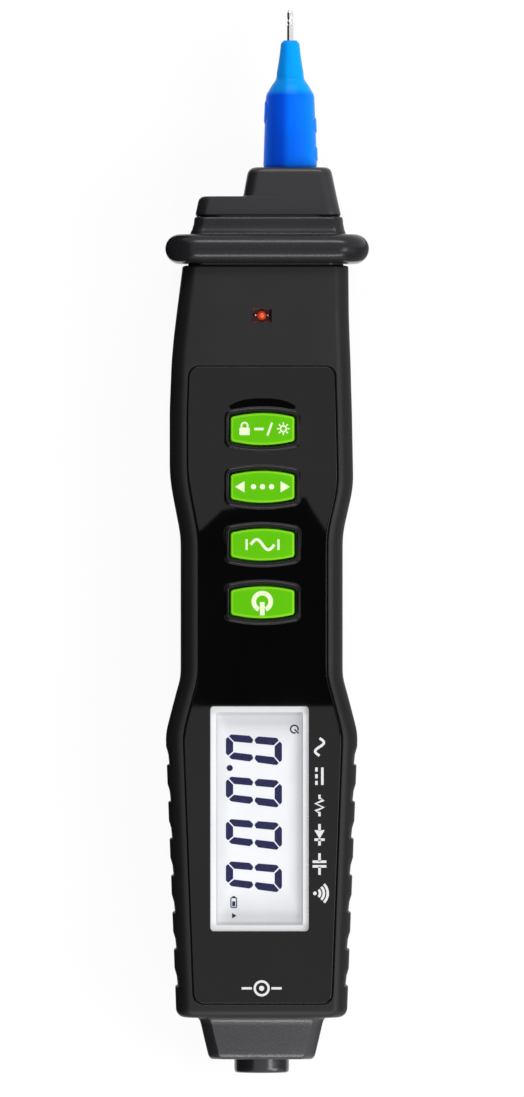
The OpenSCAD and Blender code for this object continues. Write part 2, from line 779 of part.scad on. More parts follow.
module led_holder() {
    color("#161617")
        translate([mid_x, y_top - led_in, 0])
            difference() {
                slab(z_board, z_under - holder_gap)
                    square([holder_w, holder_l], center = true);
                translate([0, 0, z_board - over])
                    cylinder(r = led_base_r + shaft_gap, h = z_under - z_board + 2 * over);
            }
}

buzzer_r = 6.0;
buzzer_t = 3.4;
buzzer_in = 30.6;
module buzzer() {
    color("#1a1a1a")
        translate([mid_x, y_top - buzzer_in, z_board_low - buzzer_t])
            difference() {
                cylinder(r = buzzer_r, h = buzzer_t);
                translate([0, 0, -over])
                    cylinder(r = buzzer_r / 5, h = over + buzzer_t / 3);
            }
}

chip_w = 10.0;
chip_t = 1.6;
chip_up = 78.0;
module main_chip() {
    color("#202022")
        translate([mid_x, y_body + chip_up, 0])
            slab(z_board_low - chip_t, z_board_low)
                square([chip_w, chip_w], center = true);
}

thermistor_r = 3.4;
thermistor_t = 2.2;
thermistor_side = 7.0;
thermistor_in = 18.6;
module input_thermistor() {
    color("#3d5fa8")
        translate([mid_x - thermistor_side, y_top - thermistor_in, z_board_low - thermistor_t])
            cylinder(r = thermistor_r, h = thermistor_t);
}

// Clip that joins the rod to the board
clip_w = 3.6;
clip_len = 5.0;
rod_in = 9.5;
y_rod = y_top - rod_in;
y_rod_shoulder = y_mouth - 4 * rod_d;
// Shank inside the sleeve, a step thicker than the bare pin
pin_step = 0.2;
shank_r = pin_r + pin_step;
module probe_contact() {
    color("#c9a24a")
        difference() {
            box_at(probe_x - clip_w / 2, probe_x + clip_w / 2, y_rod, y_rod + clip_len,
                probe_z - clip_w / 2, z_board_low);
            translate([probe_x, 0, probe_z])
                bar_y(rod_r + shaft_gap, y_rod - over, y_rod + clip_len + over);
        }
}

// Tip profile as shares of the bare length and of the pin's radius
tip_shares = [[1, 0.10], [0.93, 0.55], [0.89, 0.66], [0.87, 0.88], [0.80, 0.98], [0.65, 0.92],
    [0.63, 0.74], [0.61, 0.74], [0.59, 0.90], [0.55, 0.96], [0.51, 0.90], [0.49, 0.74], [0.47, 0.74],
    [0.46, 1]];
module probe_rod() {
    color("#c9ccd0")
        translate([probe_x, y_mouth, probe_z])
            rotate([-90, 0, 0])
                rotate_extrude()
                    polygon(concat([[0, y_rod - y_mouth], [rod_r, y_rod - y_mouth],
                        [rod_r, y_rod_shoulder - y_mouth - (rod_r - shank_r)],
                        [shank_r, y_rod_shoulder - y_mouth], [shank_r, 0], [pin_r, 0]],
                        [for (i = [len(tip_shares) - 1:-1:0])
                            [pin_r * tip_shares[i][1], pin_out * tip_shares[i][0]]],
                        [[0, pin_out]]));
}

module probe_bush() {
    color("#1c1c1e")
        translate([probe_x, 0, probe_z])
            difference() {
                union() {
                    bar_y(bush_r, y_cavity - bush_flange_t, y_sleeve + bush_out);
                    bar_y(bush_flange_r, y_cavity - bush_flange_t, y_cavity - shaft_gap);
                }
                bar_y(rod_r + shaft_gap, y_cavity - bush_flange_t - over, y_sleeve + bush_out + over);
            }
}

// Sleeve profile as shares of its length, from the base up
shoulder_share = 0.587;
neck_share = 0.70;
base_up = 0.1;
sleeve_edge = 0.45;
module probe_sleeve() {
    color("#0a6cf0")
        translate([probe_x, y_sleeve, probe_z])
            rotate([-90, 0, 0])
                difference() {
                    rotate_extrude()
                        polygon([[0, base_up], [sleeve_d / 2, base_up],
                            [shoulder_d / 2, sleeve_len * shoulder_share],
                            [neck_d / 2, sleeve_len * neck_share],
                            [mouth_d / 2 + sleeve_edge / 3, sleeve_len - 2 * sleeve_edge],
                            [mouth_d / 2 - sleeve_edge / 5, sleeve_len - sleeve_edge / 2],
                            [mouth_d / 2 - sleeve_edge, sleeve_len],
                            [0, sleeve_len]]);
                    translate([0, 0, -over])
                        cylinder(r = bush_r + shaft_gap, h = over + bush_out + move_gap);
                    translate([0, 0, -over])
                        cylinder(r = rod_r + shaft_gap, h = over + y_rod_shoulder - y_sleeve + move_gap);
                    translate([0, 0, -over])
                        cylinder(r = shank_r + shaft_gap, h = sleeve_len + 2 * over);
                }
}

// The jack: a stub with a recess for a shrouded plug round the contact tube
com_in = 21.3;
com_flange_r = 6.6;
com_inner_r = 5.0;
com_floor = 5.3;
com_set_back = 1.4;
com_end_t = 1.0;
y_com_flange = y_body + end_wall + collet_t;
y_com_in = y_end + com_in;
module com_shroud() {
    color("#242427")
        translate([mid_x, 0, seam_z])
            difference() {
                union() {
                    bar_y(com_r, y_end + sink, y_com_flange + collet_t);
                    translate([0, y_end + sink, 0])
                        rotate([90, 0, 0])
                            cylinder(r1 = com_r, r2 = com_r - sink, h = sink);
                    bar_y(com_flange_r, y_com_flange + shaft_gap, y_com_flange + collet_t);
                    bar_y(com_inner_r, y_com_flange, y_com_in);
                }
                bar_y(com_recess_r, y_end - over, y_com_in - com_floor);
                bar_y(com_tube_r + shaft_gap, y_end, y_com_in + over);
            }
}

module com_tube() {
    color("#c9a24a")
        translate([mid_x, 0, seam_z])
            difference() {
                bar_y(com_tube_r, y_end + com_set_back, y_end + com_set_back + com_tube_len + com_end_t);
                bar_y(com_bore_r, y_end, y_end + com_set_back + com_tube_len);
            }
}

lead_w = 2.4;
lead_t = 0.4;
lead_on = 4.0;
module com_lead() {
    y = y_end + com_set_back + com_tube_len + com_end_t;
    color("#c9a24a") {
        box_at(mid_x - lead_w / 2, mid_x + lead_w / 2, y, y + lead_t, seam_z, z_board_low);
        box_at(mid_x - lead_w / 2, mid_x + lead_w / 2, y, y_body + board_low + lead_on,
            z_board_low - lead_t, z_board_low);
    }
}

nub_r = 1.9;
nub_len = 1.0;
plate_t = 0.4;
cell_side = cell_r + bay_gap / 2;
// One cell, its nub towards the tail or towards the nose
module cell(side, way) {
    y_flat = way > 0 ? y_bay1 - plate_t - cell_l : y_bay0 + plate_t + cell_l;
    color("#b0803a")
        translate([mid_x + side * cell_side, y_flat, cell_z])
            rotate([-90 * way, 0, 0]) {
                cylinder(r = cell_r, h = cell_l - nub_len);
                cylinder(r = nub_r, h = cell_l);
            }
}

plate_w = 9.0;
plate_h = 8.0;
// Contacts at both ends of the bay: a plate behind each nub and each spring
module battery_plates() {
    color("#c9ccd0")
        for (s = [-1, 1])
            for (y = [y_bay0, y_bay1 - plate_t])
                box_at(mid_x + s * cell_side - plate_w / 2, mid_x + s * cell_side + plate_w / 2,
                    y, y + plate_t, cell_z - plate_h / 2, cell_z + plate_h / 2);
}

spring_r0 = 3.6;
spring_r1 = 2.4;
spring_len = bay_len - cell_l - 2 * plate_t;
module battery_springs() {
    color("#c9ccd0") {
        translate([mid_x + cell_side, y_bay0 + plate_t, cell_z])
            rotate([-90, 0, 0])
                cylinder(r1 = spring_r0, r2 = spring_r1, h = spring_len);
        translate([mid_x - cell_side, y_bay1 - plate_t, cell_z])
            rotate([90, 0, 0])
                cylinder(r1 = spring_r0, r2 = spring_r1, h = spring_len);
    }
}

grip_rib_w = 12.0;
grip_rib_t = 0.6;
module battery_cover() {
    color("#2d2d30")
        difference() {
            union() {
                translate([mid_x, (y_cover0 + y_cover1) / 2, 0])
                    slab(0, cover_t)
                        soft_rect(cover_w, cover_len, cover_r);
                translate([mid_x, y_cover_screw, 0])
                    cylinder(r = pad_r, h = cover_t + pad_t);
                box_at(mid_x - lug_w / 2, mid_x + lug_w / 2, y_cover0, y_cover0 + lug_t, cover_t - sink,
                    wall + lug_t + fit_gap);
                box_at(mid_x - lug_w / 2, mid_x + lug_w / 2, y_cover0 - lug_reach, y_cover0 + lug_t,
                    wall + fit_gap, wall + lug_t + fit_gap);
            }
            translate([mid_x, y_cover_screw, -over]) {
                cylinder(r = screw_r + shaft_gap, h = over + cover_t + pad_t + over);
                cylinder(r = screw_head_r + shaft_gap, h = over + screw_head_t + fit_gap + shaft_gap);
            }
            for (k = [0:4])
                translate([0, 2 * k * grip_rib_t, 0])
                    box_at(mid_x - grip_rib_w / 2, mid_x + grip_rib_w / 2, y_cover_screw - 3 * pad_r,
                        y_cover_screw - 3 * pad_r + grip_rib_t, -over, grip_rib_t / 2);
        }
}

slot_w = 0.6;
slot_share = 0.75;
// Screw with a cross recess, its head down
module screw(shank) {
    difference() {
        union() {
            cylinder(r = screw_head_r, h = screw_head_t);
            cylinder(r = screw_r, h = screw_head_t + shank);
        }
        for (a = [0, 90])
            rotate([0, 0, a])
                box_at(-screw_head_r * slot_share, screw_head_r * slot_share, -slot_w / 2, slot_w / 2,
                    -over, screw_head_t / 2);
    }
}

cover_screw_len = 5.2;
module battery_screw() {
    color("#b8bcc2")
        translate([mid_x, y_cover_screw, fit_gap])
            screw(cover_screw_len);
}

module housing_screws() {
    color("#b8bcc2")
        for (p = screw_places)
            translate([p[0], p[1], screw_sunk])
                screw(screw_reach);
}

front_shell();
back_shell();
hand_guard();
nose_cap();
tail_cap();
face_panel();
display_lens();
display_frame();
lcd_glass();
backlight();
contact_strips();
circuit_board();
key_mat();
key(0);  // key_hold
key(1);  // key_select
key(2);  // key_hertz
key(3);  // key_power
indicator_led();
led_holder();
buzzer();
main_chip();
input_thermistor();
probe_rod();
probe_bush();
probe_contact();
probe_sleeve();
com_shroud();
com_tube();
com_lead();
cell(-1, -1);  // battery_left
cell(1, 1);  // battery_right
battery_springs();
battery_plates();
battery_cover();
battery_screw();
housing_screws();
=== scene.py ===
"""Looks of a pen multimeter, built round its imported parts. Lengths are in metres."""

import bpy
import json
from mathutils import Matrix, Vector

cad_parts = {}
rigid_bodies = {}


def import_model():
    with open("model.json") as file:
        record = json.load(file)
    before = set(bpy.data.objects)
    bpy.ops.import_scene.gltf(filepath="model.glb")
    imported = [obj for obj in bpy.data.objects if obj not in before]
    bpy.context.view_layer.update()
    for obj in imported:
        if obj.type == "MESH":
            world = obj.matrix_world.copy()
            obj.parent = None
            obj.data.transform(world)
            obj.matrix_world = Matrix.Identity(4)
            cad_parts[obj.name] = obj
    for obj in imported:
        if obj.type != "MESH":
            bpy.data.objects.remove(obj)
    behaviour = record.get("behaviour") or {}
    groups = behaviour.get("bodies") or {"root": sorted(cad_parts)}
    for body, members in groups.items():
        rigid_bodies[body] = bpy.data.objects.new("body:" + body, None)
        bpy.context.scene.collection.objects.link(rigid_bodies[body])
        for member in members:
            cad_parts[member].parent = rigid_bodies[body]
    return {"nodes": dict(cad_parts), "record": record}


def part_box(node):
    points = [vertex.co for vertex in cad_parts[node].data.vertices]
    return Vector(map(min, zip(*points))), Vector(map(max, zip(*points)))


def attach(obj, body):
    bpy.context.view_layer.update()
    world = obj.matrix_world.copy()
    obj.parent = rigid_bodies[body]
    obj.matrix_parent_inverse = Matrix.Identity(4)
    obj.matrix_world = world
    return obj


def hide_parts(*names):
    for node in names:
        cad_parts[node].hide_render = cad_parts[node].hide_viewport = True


bl_info = {
    "name": "Pen multimeter",
    "version": (1, 0, 0),
    "blender": (4, 5, 0),
    "location": "3D View > Sidebar > Pen meter",
    "description": "Shells, keys, display, probe and studio of a pen multimeter, built round its frame",
    "category": "Add Mesh",
}

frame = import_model()

import json
import math

import bmesh
import bpy
import numpy as np
from bpy.props import FloatProperty, FloatVectorProperty, IntProperty, PointerProperty
from mathutils import Matrix, Vector
from mathutils.geometry import delaunay_2d_cdt

MM = 0.001
TAU = 2 * math.pi
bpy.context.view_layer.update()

# Places along the pen and heights, from the frame
SHELL_LOW, SHELL_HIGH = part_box("front_shell")
GUARD_LOW, GUARD_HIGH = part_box("hand_guard")
NOSE_LOW, NOSE_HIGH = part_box("nose_cap")
TAIL_LOW, TAIL_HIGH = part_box("tail_cap")
PANEL_LOW, PANEL_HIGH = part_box("face_panel")
LENS_LOW, LENS_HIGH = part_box("display_lens")
GLASS_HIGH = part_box("lcd_glass")[1]
LAMP_LOW, LAMP_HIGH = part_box("indicator_led")
SLEEVE_LOW, SLEEVE_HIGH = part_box("probe_sleeve")
ROD_LOW, ROD_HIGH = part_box("probe_rod")
STUB_LOW, STUB_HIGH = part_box("com_shroud")
TUBE_LOW, TUBE_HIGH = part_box("com_tube")
COVER_LOW, COVER_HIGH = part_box("battery_cover")
SCREWS_LOW, SCREWS_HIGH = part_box("housing_screws")
SPRINGS_LOW, SPRINGS_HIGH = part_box("battery_springs")
CELL_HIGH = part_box("battery_right")[1]

Y_BODY = SHELL_LOW.y
Y_TOP = SHELL_HIGH.y
BODY_LEN = Y_TOP - Y_BODY
BODY_H = SHELL_HIGH.z
SEAM_Z = SHELL_LOW.z
Z_FACE = BODY_H
Z_PANEL = PANEL_LOW.z
MID_X = (STUB_LOW.x + STUB_HIGH.x) / 2
PROBE_X = (SLEEVE_LOW.x + SLEEVE_HIGH.x) / 2
LENS_MID = (LENS_LOW + LENS_HIGH) / 2

# Edge of the shells from the pen's middle line, as shares of the width, against shares of
# the length
LEFT_SHARES = [(0, 0.473), (0.026, 0.476), (0.377, 0.528), (0.393, 0.513), (0.441, 0.464),
               (0.448, 0.4535), (0.456, 0.450), (0.634, 0.450), (0.645, 0.4535), (0.652, 0.459),
               (0.696, 0.492), (0.712, 0.502), (0.728, 0.507), (0.808, 0.507), (0.840, 0.502),
               (0.872, 0.497), (0.904, 0.486), (0.936, 0.471), (0.968, 0.455), (1, 0.439)]
RIGHT_SHARES = [(0, 0.415), (0.026, 0.419), (0.377, 0.471), (0.393, 0.456), (0.441, 0.407),
                (0.448, 0.3965), (0.456, 0.393), (0.634, 0.393), (0.645, 0.3965), (0.652, 0.401),
                (0.696, 0.440), (0.712, 0.448), (0.728, 0.447), (0.808, 0.441), (0.840, 0.437),
                (0.872, 0.434), (0.904, 0.429), (0.936, 0.425), (0.968, 0.424), (1, 0.423)]
FRONT_SHARES = [(0, 1), (0.94, 1), (1, 0.962)]
BACK_SHARES = [(0, 0), (0.95, 0), (1, 0.028)]
# Radius of the sleeve as shares of its base's, against shares of its length
SLEEVE_SHARES = [(0, 0.97), (0.006, 0.99), (0.016, 1.0), (0.3, 0.955), (0.447, 0.922),
                 (0.526, 0.908), (0.56, 0.898), (0.58, 0.868), (0.604, 0.798), (0.628, 0.733),
                 (0.651, 0.669), (0.672, 0.595), (0.69, 0.535), (0.71, 0.511), (0.746, 0.499),
                 (0.793, 0.461), (0.84, 0.424), (0.887, 0.392), (0.934, 0.368), (0.962, 0.356),
                 (0.977, 0.34), (0.987, 0.31), (0.994, 0.272), (1, 0.222)]
# A notch has a steep lower lip and a long upper slope; the steps are where the shells have sections
NOTCH_SHARES = [(0, 0), (0.08, 1), (0.6, 0.75), (1, 0)]
NOTCH_STEPS = (0.0, 0.03, 0.08, 0.15, 0.3, 0.45, 0.6, 0.75, 0.88, 1.0)
BODY_W = (SHELL_HIGH.x - SHELL_LOW.x) / (max(s[1] for s in LEFT_SHARES)
                                         + max(s[1] for s in RIGHT_SHARES))

KEYS = ["key_hold", "key_select", "key_hertz", "key_power"]
BODIES = {node: body for body, nodes in frame["record"]["behaviour"]["bodies"].items()
          for node in nodes}

SMOOTH = 32.0  # edges up to this angle, in degrees, are shaded smooth
PAST = 1 * MM  # how far a cutter runs past what it cuts
SPIGOT_R = 7.15 * MM
LENS_CORNER = 0.6 * MM
HEAD_R = 2.3 * MM
SCREW_X = [SCREWS_LOW.x + HEAD_R, SCREWS_HIGH.x - HEAD_R]
SCREW_Y = [SCREWS_LOW.y + HEAD_R, SCREWS_HIGH.y - HEAD_R]
SCREW_SPOTS = [(x, y) for x in SCREW_X for y in SCREW_Y]
COVER_LUG = 1.2 * MM  # how far the battery cover's lug stands out of its low end


def length(name, millimetres, description):
    """A size that a user can change, given in millimetres and kept in metres."""
    return FloatProperty(name=name, description=description, default=millimetres * MM, min=0.0,
                         unit="LENGTH", subtype="DISTANCE", precision=5)


def tint(name, colour, description):
    """A colour that a user can change."""
    return FloatVectorProperty(name=name, description=description, default=colour, size=3,
                               min=0.0, max=1.0, subtype="COLOR")


class ShellSizes(bpy.types.PropertyGroup):
    wall: length("Wall", 2.2, "Wall of the shells")
    end_wall: length("End wall", 2.1, "Wall that closes the tail end")
    end_round: length("Tail rounding", 1.8, "Rounding of the tail end's edge")
    top_round: length("Rim rounding", 0.45, "Rounding of the open end under the hand guard")
    front_round_x: length("Front rounding across", 2.9, "Front edge rounding, measured across")
    front_round_z: length("Front rounding in depth", 6.5, "Front edge rounding, measured in depth")
    back_round_x: length("Back rounding across", 5.0, "Back edge rounding, measured across")
    back_round_z: length("Back rounding in depth", 6.0, "Back edge rounding, measured in depth")
    seam: length("Seam", 0.16, "Depth and half width of the groove between the shells")
    ease: length("Easing", 1.4, "How far a bend of the outline is eased to each side")
    notches: IntProperty(name="Notches", description="Grip notches down each side", default=7,
                         min=0)
    notch_pitch: length("Notch pitch", 7.2, "Distance from one notch to the next")
    notch_len: length("Notch length", 3.7, "Length of a notch")
    notch_depth: length("Notch depth", 0.5, "Depth of a notch")
    notch_up: length("First notch", 5.9, "Lowest notch above the tail end")
    recess_gap: length("Panel joint", 0.15, "Clearance round the face panel")
    recess_flare: length("Panel joint flare", 0.17,
                         "How far the shell's edge falls back at the panel's joint")
    lamp_window_w: length("Lamp window across", 3.75, "Window of the indicator, across the pen")
    lamp_window_l: length("Lamp window along", 2.8, "Window of the indicator, along the pen")


class PanelSizes(bpy.types.PropertyGroup):
    left: length("Left margin", 3.5, "Margin of the panel at the left edge")
    right: length("Right margin", 3.1, "Margin of the panel at the right edge")
    corner: length("Corner", 2.0, "Corner rounding of the panel")
    edge: length("Edge rounding", 0.22, "Rounding of the panel's upper edge")
    dish_w: length("Dish width", 14.9, "Width of the finger dish")
    dish_depth: length("Dish depth", 0.11, "Depth of the finger dish")
    dish_above: length("Dish above the keys", 6.0,
                       "From the top key's middle to the dish's upper end")
    grid: length("Mesh step", 0.3, "Step of the panel's mesh in the dish")


class KeySizes(bpy.types.PropertyGroup):
    flange: length("Flange", 0.9, "Flange that holds a key under the panel")
    flange_t: length("Flange thickness", 0.6, "Thickness of that flange")
    bow: length("Bow", 0.65, "Bow of a key's long edges")
    corner: length("Corner", 0.6, "Corner rounding of a key")
    edge: length("Edge rounding", 0.28, "Rounding of a key's upper edge")
    gap: length("Gap", 0.3, "Gap round a key")
    rim: length("Rim", 0.82, "Width of the raised rim round a key")
    rim_up: length("Rim height", 0.3, "Height of that rim above the panel")
    ink: length("Legend thickness", 0.03, "Thickness of the printed legends")


class ProbeSizes(bpy.types.PropertyGroup):
    rod_d: length("Rod", 2.0, "Diameter of the rod inside the sleeve")
    pin_d: length("Pin", 1.32, "Diameter of the bare probe")
    pin_out: length("Bare length", 6.4, "Bare probe beyond the sleeve")
    shank_step: length("Shank step", 0.2, "How much thicker the shank inside the sleeve is")
    grip: length("Grip height", 0.2, "Height of the raised ovals on the sleeve's sides")
    bore: length("Bore", 1.82, "Diameter of the sleeve's bore")


class StudioSizes(bpy.types.PropertyGroup):
    distance: length("Camera distance", 4000, "From the camera down to the table")
    frame_h: length("Frame height", 213.6, "What the picture shows along the pen")
    middle_x: FloatProperty(name="Middle across",
                            description="Middle of the picture across the pen",
                            default=-1.0 * MM, unit="LENGTH", subtype="DISTANCE", precision=5)
    middle_y: FloatProperty(name="Middle along", description="Middle of the picture along the pen",
                            default=-1.66 * MM, unit="LENGTH", subtype="DISTANCE", precision=5)
    ambient: FloatProperty(name="Ambient", description="Light that comes from all round",
                           default=0.34,
                           min=0.0)


class Colours(bpy.types.PropertyGroup):
    shell: tint("Shells", (0.0100, 0.0100, 0.0110), "Satin black of the two shells")
    guard: tint("Guard", (0.0125, 0.0120, 0.0145), "Smoother black of the guard and nose")
    tail: tint("Tail", (0.0145, 0.0130, 0.0175), "Textured black of the tail block")
    panel: tint("Panel", (0.0018, 0.0018, 0.0019), "Polished black of the face panel")
    key: tint("Keys", (0.104, 0.478, 0.001), "Green of the keys")
    # Lighter green painted on a key's rounded edge as a highlight.
    key_edge_highlight: tint("Key edge", (0.19, 0.62, 0.01), "Lighter green of a key's edge")
    legend: tint("Legends", (0.80, 1.0, 0.60), "Pale ink on the keys")
    print: tint("Print", (0.74, 0.74, 0.76), "Pale ink on the panel")
    display: tint("Display", (0.79, 0.805, 0.83), "Pale grey of the display")
    digit: tint("Digits", (0.014, 0.017, 0.075), "Navy of the display's digits")
    sleeve: tint("Sleeve", (0.001, 0.125, 0.80), "Blue of the sleeve")
    # Also the colour of the sleeve's painted highlight on its right side.
    sleeve_neck: tint("Sleeve neck", (0.002, 0.28, 0.86), "Lighter blue of the sleeve's thin neck")
    lamp: tint("Lamp", (0.80, 0.07, 0.012), "Orange-red of the indicator")


class PenMeter(bpy.types.PropertyGroup):
    shell: PointerProperty(type=ShellSizes, name="Shells", description="Sizes of the two shells")
    panel: PointerProperty(type=PanelSizes, name="Panel", description="Sizes of the face panel")
    keys: PointerProperty(type=KeySizes, name="Keys",
                          description="Sizes of the keys and their rims")
    probe: PointerProperty(type=ProbeSizes, name="Probe",
                           description="Sizes of the probe and its sleeve")
    studio: PointerProperty(type=StudioSizes, name="Studio", description="Camera, light and floor")
    colours: PointerProperty(type=Colours, name="Colours", description="Colours of the finishes")


# Shader maths and node trees


def add_node(tree, kind, settings=None, sockets=None):
    """Adds a node, sets what it is, then its sockets to values or links."""
    node = tree.nodes.new(kind)
    for name, value in (settings or {}).items():
        setattr(node, name, value)
    for key, value in (sockets or {}).items():
        if isinstance(value, Value):
            value = value.socket
        if isinstance(value, bpy.types.NodeSocket):
            tree.links.new(value, node.inputs[key])
        else:
            node.inputs[key].default_value = value
    return node


class Value:
    """One output socket, so that shader maths reads as an expression."""

    def __init__(self, socket):
        self.socket = socket
        self.tree = socket.id_data

    def maths(self, operation, first, second=0.0):
        node = add_node(self.tree, "ShaderNodeMath", {"operation": operation},
                        {0: first, 1: second})
        return Value(node.outputs[0])

    def __add__(self, other):
        return self.maths("ADD", self, other)

    def __sub__(self, other):
        return self.maths("SUBTRACT", self, other)

    def __rsub__(self, other):
        return self.maths("SUBTRACT", other, self)

    def __mul__(self, other):
        return self.maths("MULTIPLY", self, other)

    def __truediv__(self, other):
        return self.maths("DIVIDE", self, other)

    def __abs__(self):
        return self.maths("ABSOLUTE", self)

    def over(self, other):
        """The larger of the two."""
        return self.maths("MAXIMUM", self, other)

    def above(self, other):
        """1 where this is larger than the other, else 0."""
        return self.maths("GREATER_THAN", self, other)

    def wave(self):
        return self.maths("SINE", self)

    __radd__ = __add__
    __rmul__ = __mul__


class Finish:
    """A material made of nodes on a Principled shader."""

    def __init__(self, name, constants=None):
        self.material = bpy.data.materials.new(name)
        self.material.use_nodes = True
        self.tree = self.material.node_tree
        self.shader = self.tree.nodes["Principled BSDF"]
        self.place = Value(self.add("ShaderNodeTexCoord").outputs["Object"])
        for socket, value in (constants or {}).items():
            self.shader.inputs[socket].default_value = value

    def add(self, kind, settings=None, sockets=None):
        return add_node(self.tree, kind, settings, sockets)

    def axes(self):
        """The place as three values."""
        return [Value(s) for s in self.add("ShaderNodeSeparateXYZ", None, {0: self.place}).outputs]

    def noise(self, size, detail=2.0, stretch=None):
        """Noise whose patches are about size long; stretch lengthens them along the axes."""
        where = self.place
        if stretch:
            scale = tuple(1 / s for s in stretch)
            where = Value(self.add("ShaderNodeMapping", None,
                                   {"Vector": where, "Scale": scale}).outputs[0])
        node = self.add("ShaderNodeTexNoise", None,
                        {"Vector": where, "Scale": 1 / size, "Detail": detail})
        return Value(node.outputs["Fac"])

    def cells(self, size):
        node = self.add("ShaderNodeTexVoronoi", None, {"Vector": self.place, "Scale": 1 / size})
        return Value(node.outputs["Distance"])

    def band(self, value, low, high):
        """0 below low, 1 above high, eased between."""
        node = self.add("ShaderNodeMapRange", {"interpolation_type": "SMOOTHSTEP"},
                        {"Value": value, "From Min": low, "From Max": high})
        return Value(node.outputs[0])

    def mix(self, share, first, second):
        """Colour between two."""
        sockets = {0: share, 6: first if isinstance(first, Value) else (*first, 1),
                   7: second if isinstance(second, Value) else (*second, 1)}
        return Value(self.add("ShaderNodeMix", {"data_type": "RGBA"}, sockets).outputs[2])

    def attribute(self, name):
        return Value(self.add("ShaderNodeAttribute", {"attribute_name": name}).outputs["Fac"])

    def bump(self, height, strength, distance):
        node = self.add("ShaderNodeBump", None,
                        {"Height": height, "Strength": strength, "Distance": distance})
        self.link("Normal", Value(node.outputs[0]))

    def link(self, socket, value):
        self.tree.links.new(value.socket, self.shader.inputs[socket])

    def tones(self, share, colour, dark, light):
        """Base colour between a darker and a lighter shade."""
        self.link("Base Color", self.mix(share, shade(colour, dark), shade(colour, light)))

    def lit(self, colour):
        """One colour for what the surface reflects and what it emits."""
        self.link("Base Color", colour)
        self.link("Emission Color", colour)


def shade(colour, factor):
    return tuple(min(1.0, c * factor) for c in colour)


def moulded_finish(name, colour, roughness=0.48, grain=0.28 * MM, strength=0.25, specular=0.24,
                   speckle=0.3):
    """Moulded plastic: spark-eroded grain, faint flow patches and a sheen that varies with both."""
    f = Finish(name, {"Specular IOR Level": specular})
    patches = f.noise(18 * MM, 3)
    pits = f.noise(grain, 3)
    f.tones(patches * 0.7 + (pits - 0.5) * speckle + 0.15, colour, 0.8, 1.22)
    f.link("Roughness", roughness + (patches - 0.5) * 0.12 + (pits - 0.5) * 0.2)
    f.bump(pits, strength, 0.03 * MM)
    return f.material


def gloss_panel_finish(colour):
    """Polished black: very smooth, with a faint swell and a touch of wiped haze."""
    f = Finish("panel_polished_black", {"Specular IOR Level": 0.29})
    haze = f.noise(9 * MM, 4, (1, 3, 1))
    f.tones(haze, colour, 0.8, 1.5)
    f.link("Roughness", 0.015 + f.band(haze, 0.45, 0.8) * 0.02)
    f.bump(f.noise(4 * MM, 1), 0.01, 0.01 * MM)
    return f.material


def key_finish(colour, edge):
    """Key plastic: even green with a painted highlight along its rounded edge and a fine satin grain.
    """
    f = Finish("key_green_satin", {"Specular IOR Level": 0.12})
    pits = f.noise(0.2 * MM, 2)
    rim = f.attribute("painted_highlight_share")
    face = f.mix(f.noise(5 * MM, 2), shade(colour, 0.93), shade(colour, 1.08))
    # Painted highlight: the rounded edge is coloured a lighter green.
    f.link("Base Color", f.mix(rim, face, edge))
    f.link("Roughness", 0.42 + (pits - 0.5) * 0.2)
    f.bump(pits, 0.12, 0.02 * MM)
    return f.material


def ink_finish(name, colour, roughness=0.5):
    """Screen-printed ink: a slightly uneven pale film."""
    f = Finish(name, {"Specular IOR Level": 0.3})
    film = f.noise(0.25 * MM, 3)
    f.tones(film, colour, 0.9, 1.05)
    f.link("Roughness", roughness + (film - 0.5) * 0.2)
    f.bump(film, 0.1, 0.01 * MM)
    return f.material


def display_finish(colour, middle, half_w, half_l):
    """Lit display: pale in the middle, greyed towards the edges by painted shade, with a painted shadow
    line round its rim and a faint weave of its polariser.
    """
    f = Finish("display_pale_grey", {"Specular IOR Level": 0.4, "Emission Strength": 0.31})
    x, y, _ = f.axes()
    away = (abs(x - middle.x) / half_w).over(abs(y - middle.y) / half_l)
    # Painted shade: the display greys towards its edges, as in the shadow of its recess.
    edge = f.band(away + (f.noise(7 * MM, 2) - 0.5) * 0.1, 0.6, 1.0)
    # Painted shadow: a thin darker line where the display meets the frame.
    rim = f.band(away, 0.955, 0.985)
    weave = ((x + y) * (TAU / (0.35 * MM))).wave() * 0.5 + 0.5
    pale = f.mix(edge, colour, shade(colour, 0.74))
    pale = f.mix(weave * 0.06, pale, shade(colour, 0.9))
    # The painted shadow line darkens the rim.
    pale = f.mix(rim * 0.55, pale, shade(colour, 0.42))
    f.lit(pale)
    f.link("Roughness", 0.25 + f.noise(1 * MM, 2) * 0.1)
    return f.material


def digit_finish(colour):
    """Switched-on crystal: navy, a little uneven."""
    f = Finish("display_segment_navy", {"Specular IOR Level": 0.2})
    f.tones(f.noise(1.5 * MM, 2), colour, 0.85, 1.25)
    f.link("Roughness", 0.45 + f.noise(0.4 * MM, 2) * 0.1)
    return f.material


def window_finish():
    """Clear hard window: nearly all seen through, with a polished surface."""
    f = Finish("window_clear", {"Specular IOR Level": 0.5})
    haze = f.noise(12 * MM, 3)
    f.link("Base Color", f.mix(haze, (0.010, 0.012, 0.014), (0.02, 0.022, 0.024)))
    f.link("Alpha", 0.05 + haze * 0.03)
    f.link("Roughness", 0.03 + haze * 0.03)
    return f.material


